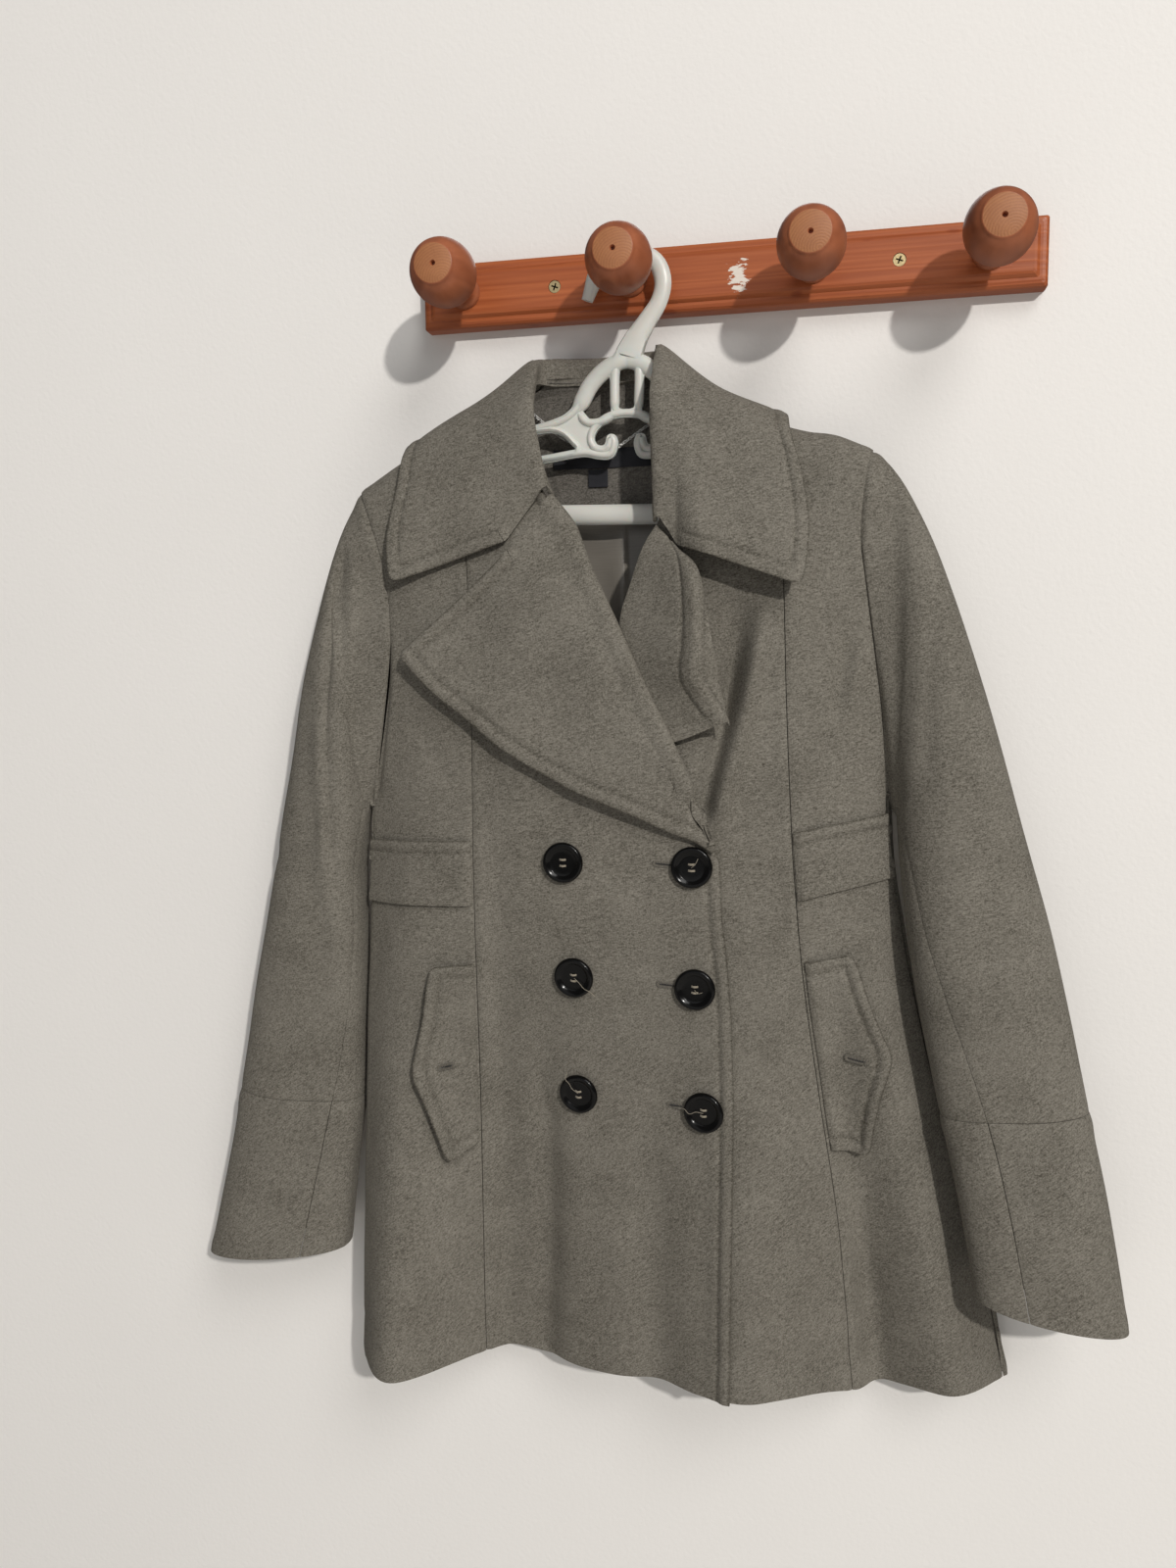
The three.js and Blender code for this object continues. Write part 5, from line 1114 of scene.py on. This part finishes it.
# -------------------------------------------------------------------------- inside of the neck
def neck_patch(node, table, count, height, thick, finish, shape=None):
    """A piece that lies on the inside of the back, between the table's left and right edges."""
    table = np.array(table, float)
    t = np.linspace(0, len(table) - 1, count)
    row = curve_through(table, t)
    share = np.linspace(0, 1, 70)
    x = between(row[:, 1], row[:, 2], share)
    z = np.repeat(row[:, 0][:, None], 70, 1)
    h = height + (shape(x, z) if shape else 0)
    points = on_back(x.ravel(), z.ravel(), np.ravel(h + np.zeros_like(x))).reshape(count, 70, 3)
    return cloth(node, points, behind(points), finish=finish, thick=thick,
                 soft_rim=0.25)


def lining_folds(x, z):
    """The centre pleat, lit on its left and turned under on its right, and soft waves beside it."""
    drop = smooth((-165 - z) / 60)
    pleat = -3.6 * bell(np.minimum(x, PLEAT_X), PLEAT_X, 10) * bell(np.maximum(x, PLEAT_X), PLEAT_X, 1.6)
    return pleat * (0.35 + 0.65 * drop) - 0.8 * drop * np.sin(x / 9 + z / 41) ** 2


neck_patch("neck_facing", NECK_FACING, 60, -2.6, 1.5, FACING,
           lambda x, z: -0.35 * np.sin(x / 13 + z / 21))
neck_patch("lining_back", LINING, 90, -1.6, 0.9, SATIN, lining_folds)
neck_patch("neck_label", NECK_LABEL, 14, -4.2, 0.9, LABEL)
neck_patch("size_tab", SIZE_TAB, 12, -4.2, 0.9, LABEL)


# ----------------------------------------------------------------- turned, swept, stitched pieces
def turned(name, profile, steps, finish, centre, axis, tip=None):
    """A profile of (radius, height) spun about an axis. Past a tip's height and within its radius
    the second finish is used."""
    bm = bmesh.new()
    verts = [bm.verts.new((r * MM, 0, h * MM)) for r, h in profile]
    edges = [bm.edges.new(pair) for pair in zip(verts[:-1], verts[1:])]
    bmesh.ops.spin(bm, geom=verts + edges, cent=(0, 0, 0), axis=(0, 0, 1), dvec=(0, 0, 0),
                   angle=2 * math.pi, steps=steps, use_merge=True, use_duplicate=False)
    bmesh.ops.remove_doubles(bm, verts=bm.verts, dist=1e-6)
    bmesh.ops.recalc_face_normals(bm, faces=bm.faces[:])
    for face in bm.faces:
        face.smooth = True
        middle = face.calc_center_median() / MM
        if tip and middle.z > tip[0] and middle.xy.length < tip[1]:
            face.material_index = 1
    turn = Vector((0, 0, 1)).rotation_difference(Vector(axis))
    bmesh.ops.transform(bm, matrix=Matrix.Translation(Vector(centre) * MM) @ turn.to_matrix().to_4x4(),
                        verts=bm.verts)
    mesh = mesh_from(bm, name)
    mesh.set_sharp_from_angle(angle=math.radians(38))
    return link(name, mesh, *finish)


def rounded(profile, per):
    """A smooth line through the profile, with per points to each of its stretches."""
    return curve_through(profile, np.linspace(0, len(profile) - 1, (len(profile) - 1) * per + 1))


def mesh_of(curve, name):
    """The mesh of a curve, which is then dropped."""
    helper = bpy.data.objects.new(name, curve)
    bpy.context.scene.collection.objects.link(helper)
    mesh = bpy.data.meshes.new_from_object(helper.evaluated_get(bpy.context.evaluated_depsgraph_get()))
    bpy.data.objects.remove(helper)
    return mesh


def add_line(curve, points, closed, taper=None):
    line = curve.splines.new("POLY")
    line.points.add(len(points) - 1)
    for i, (dot, p) in enumerate(zip(line.points, points)):
        dot.co = (*(c * MM for c in p), 1)
        dot.radius = taper[i] if taper is not None else 1
    line.use_cyclic_u = closed


def strand(points, radius, name="strand", closed=False, sides=3, taper=None):
    """A round thread or bar along points given in millimetres."""
    curve = bpy.data.curves.new(name, "CURVE")
    curve.dimensions, curve.bevel_depth, curve.bevel_resolution = "3D", radius * MM, sides
    curve.use_fill_caps = True
    add_line(curve, points, closed, taper)
    return mesh_of(curve, name)


def joined(name, meshes, finish):
    """One piece from several meshes, which are then dropped."""
    bm = bmesh.new()
    for mesh in meshes:
        bm.from_mesh(mesh)
        bpy.data.meshes.remove(mesh)
    for face in bm.faces:
        face.material_index, face.smooth = 0, True
    mesh = mesh_from(bm, name)
    mesh.set_sharp_from_angle(angle=math.radians(45))
    return link(name, mesh, finish)


# ------------------------------------------------------------------------------------- hanger
def hanger_place(x, z, y=0.0):
    """A point of the hanger's own plane in the room, in millimetres."""
    up = z + 60
    return (HANGER_X + x * math.cos(HANGER_LEAN) - up * math.sin(HANGER_LEAN), HANGER_Y + y,
            -60 + x * math.sin(HANGER_LEAN) + up * math.cos(HANGER_LEAN))


# One half of the hanger's outline, as (x, z), and its slots.
ARM_TOP = [(0, -50), (7, -52), (12.2, -58.5), (20.2, -65.6), (27.2, -71.7), (32.7, -79.5),
           (38.1, -89.2), (44.2, -96), (52.5, -100.3), (70.2, -105.1), (104, -112.5),
           (138, -121.5), (166, -130), (173, -134)]
ARM_LOW = [(173, -140), (165, -143.5), (138, -140.5), (104, -137), (66, -133.5), (38, -129.2),
           (28.8, -128.9)]
CURL = [(22.5, -130.3), (14, -131), (8.5, -128.5), (5.9, -121), (6.9, -115.1), (10.1, -112.7),
        (14, -113.8), (15.6, -119.4), (18.2, -120.9), (22, -119.5), (23.8, -114.9), (20.5, -108.6),
        (13, -103.3), (6, -101.4), (0, -101)]
SIDE_SLOT = [(16, -70.5), (12.8, -73), (11.4, -96.4), (14.1, -100.8), (20.1, -103.9), (25.3, -103.3),
             (32.3, -96.1), (32.9, -92.2), (24, -76.7), (20, -71.9)]
CENTRE_SLOT = [(-6, -69), (-3, -65.6), (3, -65.6), (6, -69), (6.2, -91), (3.5, -94.9),
               (-3.5, -94.9), (-6.2, -91)]
ARM_GAP = [(57.5, -110.7), (104, -119), (143, -129.5), (104, -131.5), (66.5, -128), (41.4, -124.2),
           (40.4, -120.7)]
# Middle lines of the hook, of what joins it to the arms, and of the trouser bar.
HOOK = [(-29.5, -16.5), (-25.5, -6), (-21, 4.5), (-12.5, 12.8), (-0.5, 15.3), (12.5, 13.2), (22.5, 5.6),
        (26.5, -7), (23.5, -20.5), (14.5, -34), (7, -45), (2.5, -54), (1, -58)]
NECK_ARM = [(-1, -61), (6, -61.5), (14, -65), (21.8, -71), (28.5, -79), (34.5, -90), (42, -98.5)]
NECK_POST = [(7.4, -61), (9, -69), (9.2, -78), (9, -88), (9, -99)]
NECK_ARCH = [(9, -99), (16, -102.5), (24, -104.5), (31, -103), (37, -96)]
TROUSER_BAR = [(-160, -135), (-160, -151), (-154, -165), (-140, -171), (-60, -171), (60, -171),
               (140, -171), (154, -165), (160, -151), (160, -135)]


def mirrored(loop):
    return [(-x, z) for x, z in loop][::-1]


def loop_through(loop, per=5):
    """A closed smooth loop through the points."""
    n = len(loop)
    ring = np.array([loop[i % n] for i in range(-2, n + 3)], float)
    return curve_through(ring, 2 + np.linspace(0, n, n * per + 1)[:-1])


def inset_loop(loop, by):
    """The loop moved to its left by a distance."""
    ahead = np.roll(loop, -1, 0) - np.roll(loop, 1, 0)
    ahead /= np.linalg.norm(ahead, axis=1)[:, None]
    return loop + np.stack([-ahead[:, 1], ahead[:, 0]], 1) * by


def area_of(loop):
    x, z = loop[:, 0], loop[:, 1]
    return 0.5 * np.sum(x * np.roll(z, -1) - z * np.roll(x, -1))


outline = np.array(ARM_TOP + ARM_LOW + CURL + mirrored(ARM_TOP[1:] + ARM_LOW + CURL[:-1]), float)
outline = loop_through(outline, 3)
slots = [loop_through(loop) for loop in (CENTRE_SLOT, SIDE_SLOT, mirrored(SIDE_SLOT),
                                         ARM_GAP, mirrored(ARM_GAP))]


def web():
    """The thin plate between the rims, a flat filled shape with its slots left open."""
    curve = bpy.data.curves.new("web", "CURVE")
    curve.dimensions, curve.fill_mode, curve.extrude = "2D", "BOTH", 1.7 * MM
    for loop in [outline, *slots]:
        add_line(curve, [(x, z, 0) for x, z in loop], True)
    mesh = mesh_of(curve, "web")
    for vert in mesh.vertices:
        x, z, y = vert.co / MM
        vert.co = Vector(hanger_place(x, z, -y)) * MM
    return mesh


def rim(loop, by, radius):
    """A raised rim just inside the plate, along a loop of its outline."""
    sign = 1 if area_of(loop) > 0 else -1
    line = inset_loop(loop, by * sign)
    mesh = strand([hanger_place(x, z) for x, z in line], radius, "rim", closed=True, sides=3)
    for vert in mesh.vertices:
        vert.co.y = HANGER_Y * MM + (vert.co.y - HANGER_Y * MM) * 3.9 / radius
    return mesh


def bar(points, wide, deep, taper=None):
    """A bar of oval section, flattened where its taper would make it deeper than stated."""
    line = rounded(points, 8)
    mesh = strand([(x, 0, z) for x, z in line], 0.5 * wide, "bar", sides=4,
                  taper=taper and taper(len(line)))
    half = deep * MM / 2
    for vert in mesh.vertices:
        vert.co.y = HANGER_Y * MM + max(-half, min(half, vert.co.y * deep / wide))
    return mesh


def hook_width(count):
    """Narrow at the hook's tip, wide where it runs into the plate."""
    t = np.linspace(0, 1, count)
    return 0.72 + 0.28 * smooth(t * 8) + 0.75 * smooth((t - 0.64) / 0.36)


def soft_end(count):
    t = np.linspace(0, 1, count)
    return (0.8 + 0.2 * smooth(t * 4)) * (0.35 + 0.65 * smooth((1 - t) * 5))


hook_line = [(HANGER_X + x, z) for x, z in HOOK]
bar_line = [hanger_place(x, z)[::2] for x, z in TROUSER_BAR]
hanger_parts = [web(), rim(outline, 3.1, 3.1)]
hanger_parts += [rim(slot, -2.6, 2.6) for slot in slots[3:]]
hanger_parts += [bar(hook_line, 12.4, 8, taper=hook_width), bar(bar_line, 15, 8)]
for way in (-1, 1):
    for line, wide, deep in ((NECK_ARM, 13, 8.6), (NECK_POST, 7.4, 7.2), (NECK_ARCH, 6.6, 8.6)):
        line = [hanger_place(way * x, z)[::2] for x, z in line]
        hanger_parts.append(bar(line, wide, deep, taper=soft_end))
hanger_piece = joined("hanger_moulding", hanger_parts, PLASTIC)
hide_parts("hanger")

# --------------------------------------------------------------------------------------- chain
CHAIN_LINE = [(-141, -19.8, -92), (-121, -22.5, -109), (-111, -23, -115), (-93, -23, -122),
              (-78, -23, -121.5), (-70, -23, -117), (-61, -22.5, -111), (-50, -19.8, -103)]

LINK_PITCH = 2.3


def chain():
    line = curve_through(CHAIN_LINE, np.linspace(0, len(CHAIN_LINE) - 1, 400))
    run = run_of(line)
    count = int(run[-1] / LINK_PITCH)

    def place(at):
        return Vector([np.interp(at, run, line[:, k]) for k in range(3)])

    bm, done = bmesh.new(), set()
    for i in range(count):
        at = (i + 0.5) * run[-1] / count
        spot, ahead = place(at), place(at + 1) - place(at - 1)
        ring = bmesh.ops.create_circle(bm, segments=5, radius=0.45)["verts"]
        bmesh.ops.translate(bm, verts=ring, vec=(1.0, 0, 0))
        bmesh.ops.rotate(bm, verts=ring, cent=(1.0, 0, 0), matrix=Matrix.Rotation(math.pi / 2, 3, "X"))
        edges = list({e for v in ring for e in v.link_edges})
        bmesh.ops.spin(bm, geom=ring + edges, cent=(0, 0, 0), axis=(0, 0, 1), dvec=(0, 0, 0),
                       angle=2 * math.pi, steps=12, use_merge=True, use_duplicate=False)
        verts = [v for v in bm.verts if v not in done]
        done.update(verts)
        turn = ahead.to_track_quat("X", "Z").to_matrix().to_4x4()
        roll = Matrix.Rotation(math.radians(45 + 90 * (i % 2)), 4, "X")
        long = Matrix.Diagonal((1.55, 1.0, 1.0, 1.0))
        bmesh.ops.transform(bm, verts=verts, matrix=(
            Matrix.Scale(MM, 4) @ Matrix.Translation(spot) @ turn @ roll @ long))
    bmesh.ops.recalc_face_normals(bm, faces=bm.faces[:])
    for face in bm.faces:
        face.smooth = True
    piece = link("hang_chain_links", mesh_from(bm, "hang_chain_links"), CHAIN)
    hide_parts("hang_chain")


chain()

# ------------------------------------------------------------------------------------- buttons
BUTTON_RIM = [(10, 0), (14.1, 0.8), (15.2, 2.4), (14.6, 4.3), (13.2, 4.9), (11.6, 4.2), (10.1, 3.1)]
BUTTON_DISH = [(8.8, 2.95), (7, 2.9), (0, 2.9)]
HOLES = ((-2.3, -2.3), (2.3, -2.3), (2.3, 2.3), (-2.3, 2.3))
# Loose thread ends, from the middle of a button outwards, as (across, up, out).
LOOSE_ENDS = {
    "button_left_middle": [(1, 0, 3.8), (5, -3, 5.2), (9, -7, 5.8), (13, -9, 5.6), (17, -13, 4)],
    "button_left_bottom": [(0, 1, 3.8), (-4, 5, 5.4), (-6, 9, 5.8), (-9, 12, 5.4), (-8, 17, 4)],
    "button_right_bottom": [(0, 0, 3.8), (-5, 1, 5.4), (-10, -1, 5.8), (-14, 2, 5.2), (-19, 1, 3)],
    "button_right_top": [(0, 0, 3.8), (3, 3, 5.4), (5, 7, 5.6)],
    "button_right_middle": [(0, 0, 3.8), (3, -2, 5.2), (6, -1, 5.4)],
}


def button_frame(x, z):
    """Base point of a button and its own axes: across, up and out."""
    outside = left_stack(x, z) + 0.75
    base = Vector(on_front(x, z, outside)[0])
    out = (Vector(on_front(x, z, outside + 1)[0]) - base).normalized()
    sideways = Vector((0, 0, 1)).cross(out).normalized()
    return base, sideways, out.cross(sideways), out


for node, (x, z) in BUTTONS.items():
    base, sideways, upward, outward = button_frame(x, z)
    profile = [(0, 0), *map(tuple, rounded(BUTTON_RIM, 4)), *BUTTON_DISH]
    disc = turned(node + "_disc", profile, 56, (BUTTON,), base, outward)
    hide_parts(node)

    def spot(across, up, out):
        return tuple(base + sideways * across + upward * up + outward * out)

    threads = []
    for a, b in ((0, 1), (3, 2)):
        (ax, az), (bx, bz) = HOLES[a], HOLES[b]
        for off in (-0.35, 0.35):
            arc = [spot(ax + (bx - ax) * t, az + (bz - az) * t + off, 2.7 + 1.3 * math.sin(math.pi * t))
                   for t in np.linspace(0, 1, 9)]
            threads.append(strand(arc, 0.42, sides=2))
    if node in LOOSE_ENDS:
        tail = curve_through(LOOSE_ENDS[node], np.linspace(0, len(LOOSE_ENDS[node]) - 1, 22))
        threads.append(strand([spot(*p) for p in tail], 0.2, sides=1))
    sewing = joined(node + "_thread", threads, PALE_THREAD)


# --------------------------------------------------------------------------------- buttonholes
def buttonhole(name, first, last, high, wide=1.5):
    """A slit, a near-black grain of painted shade, with close stitches round it, laid on the front
    between two (x, z) places.
    """
    first, last = np.array(first, float), np.array(last, float)
    run = np.linalg.norm(last - first)
    ahead = (last - first) / run
    off = np.array([-ahead[1], ahead[0]])
    places = []
    for side in (-1, 1):
        for t in np.arange(0.0, run + 0.1, 1.15):
            places.append((first + ahead * t + off * side * wide, math.atan2(off[1], off[0])))
    for k in range(1, 5):
        turn = math.pi * (k / 5 - 0.5)
        for end, way in ((last, 1), (first, -1)):
            arm = way * ahead * math.cos(turn) + off * math.sin(turn)
            places.append((end + arm * wide, math.atan2(arm[1], arm[0])))
    places.append(((first + last) / 2, math.atan2(ahead[1], ahead[0])))
    x, z = np.array([p for p, _ in places]).T
    spots = on_front(x, z, high(x, z) - front_relief(x, z))
    bm = bmesh.new()

    def grain(k, size, detail):
        bmesh.ops.create_icosphere(bm, subdivisions=detail, radius=1, matrix=(
            Matrix.Scale(MM, 4) @ Matrix.Translation(Vector(spots[k]))
            @ Matrix.Rotation(-places[k][1], 4, "Y") @ Matrix.Diagonal((*size, 1))))

    for k in range(len(places) - 1):
        grain(k, (1.5, 0.75, 0.6), 1)
    stitches = set(bm.faces)
    # The slit: a dark grain standing for the shade in the opening.
    grain(-1, (run / 2 + 0.3, 0.5, 0.75), 2)
    for face in bm.faces:
        face.smooth = True
        face.material_index = 0 if face in stitches else 1
    link(name, mesh_from(bm, name), WOOL_THREAD, SLIT_SHADE)


def on_left_front(a, b):
    return left_stack(a, b) + 0.1


for place in ("top", "middle", "bottom"):
    x, z = BUTTONS["button_right_" + place]
    buttonhole("buttonhole_right_" + place, (x - 27, z + 1.8), (x - 13, z + 0.8), on_left_front)
buttonhole("buttonhole_flap_left", (-212, -590), (-203, -588), lambda a, b: 4 * CLOTH - 1.6 + 0 * a)
buttonhole("buttonhole_flap_right", (97, -568), (110, -571), lambda a, b: 4 * CLOTH - 1.4 + 0 * a)

# --------------------------------------------------------------------------------- rail, pegs
PEG_PROFILE = [(12, 18.3), (11.4, 20.6), (9.3, 23.5), (8.7, 30), (9, 41), (12.6, 46), (18.4, 51.4),
               (22.2, 59), (23.4, 68), (22.4, 77), (19, 85.6), (14.8, 90.6)]
PEG_TIP = [(14.3, 91.6), (13.6, 92), (2.0, 92), (1.5, 91.4), (1.2, 88), (0, 87.6)]
for i, x in enumerate((-193, -65, 67, 188)):
    profile = [(0, 18.3), *map(tuple, rounded(PEG_PROFILE, 4)), *PEG_TIP]
    disc = end_grain_finish(f"peg_end_grain_{i + 1}", (x * MM, 0))
    peg = turned(f"peg_{i + 1}_turned", profile, 72, (PEG_PINE, disc), (x, 0, 0), (0, -1, 0),
                 tip=(91.9, 14))
    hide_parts(f"peg_{i + 1}")

for name, finish in (("rail_board", PINE), ("screw_1", BRASS), ("screw_2", BRASS)):
    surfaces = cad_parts[name].data.materials
    surfaces.clear()
    surfaces.append(finish)

# ------------------------------------------------------------------------ wall, floor and light
def plane(name, corners, finish):
    bm = bmesh.new()
    bm.faces.new([bm.verts.new(c) for c in corners])
    mesh = mesh_from(bm, name)
    mesh.materials.append(finish)
    sheet = bpy.data.objects.new(name, mesh)
    bpy.context.scene.collection.objects.link(sheet)
    return sheet


def wall_finish():
    """Pale paint on its front; from behind it lets the view through."""
    f = Finish("wall_paint", roughness=0.85)
    roller = f.noise(f.place(), 260, 3)
    patch = f.noise(f.place(), 5, 2)
    clear = f.tree.nodes.new("ShaderNodeBsdfTransparent")
    side = f.tree.nodes.new("ShaderNodeNewGeometry")
    blend = f.tree.nodes.new("ShaderNodeMixShader")
    f.tree.links.new(side.outputs["Backfacing"], blend.inputs[0])
    f.tree.links.new(f.shader.outputs[0], blend.inputs[1])
    f.tree.links.new(clear.outputs[0], blend.inputs[2])
    f.tree.links.new(blend.outputs[0], f.tree.nodes["Material Output"].inputs["Surface"])
    return f.done(f.mix(patch, paint(236, 233, 229), paint(240, 237, 233)), roller * 0.25)


def floor_finish():
    f = Finish("floor_paint", roughness=0.8)
    return f.done(f.mix(f.noise(f.place(), 4, 2), paint(224, 221, 216), paint(230, 227, 222)))


WALL_Y, FLOOR_Z = 0.0005, -1.35
wall = plane("wall", [(-1.7, WALL_Y, FLOOR_Z), (1.7, WALL_Y, FLOOR_Z), (1.7, WALL_Y, 1.0),
                      (-1.7, WALL_Y, 1.0)], wall_finish())
wall.visible_diffuse = wall.visible_glossy = wall.visible_transmission = wall.visible_shadow = False
plane("floor", [(-3, -3, FLOOR_Z), (3, -3, FLOOR_Z), (3, 3, FLOOR_Z), (-3, 3, FLOOR_Z)], floor_finish())


# Name, place, height it is turned to, power, size, colour.
for name, place, target, power, size, colour in (
        ("key", (2.55, -4.42, 2.04), -0.35, 168, 0.2, (1.0, 0.97, 0.93)),
        ("window_right", (3.2, -4.5, 5.0), -0.4, 182, 3.6, (1.0, 0.99, 0.975)),
        ("room_front", (-0.6, -4.6, 0.6), -0.4, 19, 3.6, (0.97, 0.985, 1.0)),
        ("room_back", (-0.2, 2.6, 1.4), -0.4, 10, 1.6, (1.0, 0.98, 0.96))):
    data = bpy.data.lights.new(name, "AREA")
    data.energy, data.shape, data.size, data.color = power, "DISK", size, colour
    lamp = bpy.data.objects.new(name, data)
    lamp.location = place
    ahead = Vector((-0.05, 0, target)) - Vector(place)
    lamp.rotation_euler = ahead.to_track_quat("-Z", "Y").to_euler()
    bpy.context.scene.collection.objects.link(lamp)
room = bpy.data.worlds.new("room")
room.use_nodes = True
sky = room.node_tree.nodes["Background"]
sky.inputs["Color"].default_value, sky.inputs["Strength"].default_value = (0.95, 0.97, 1.0, 1), 0.115
bpy.context.scene.world = room
bpy.context.scene.view_settings.view_transform = "Standard"
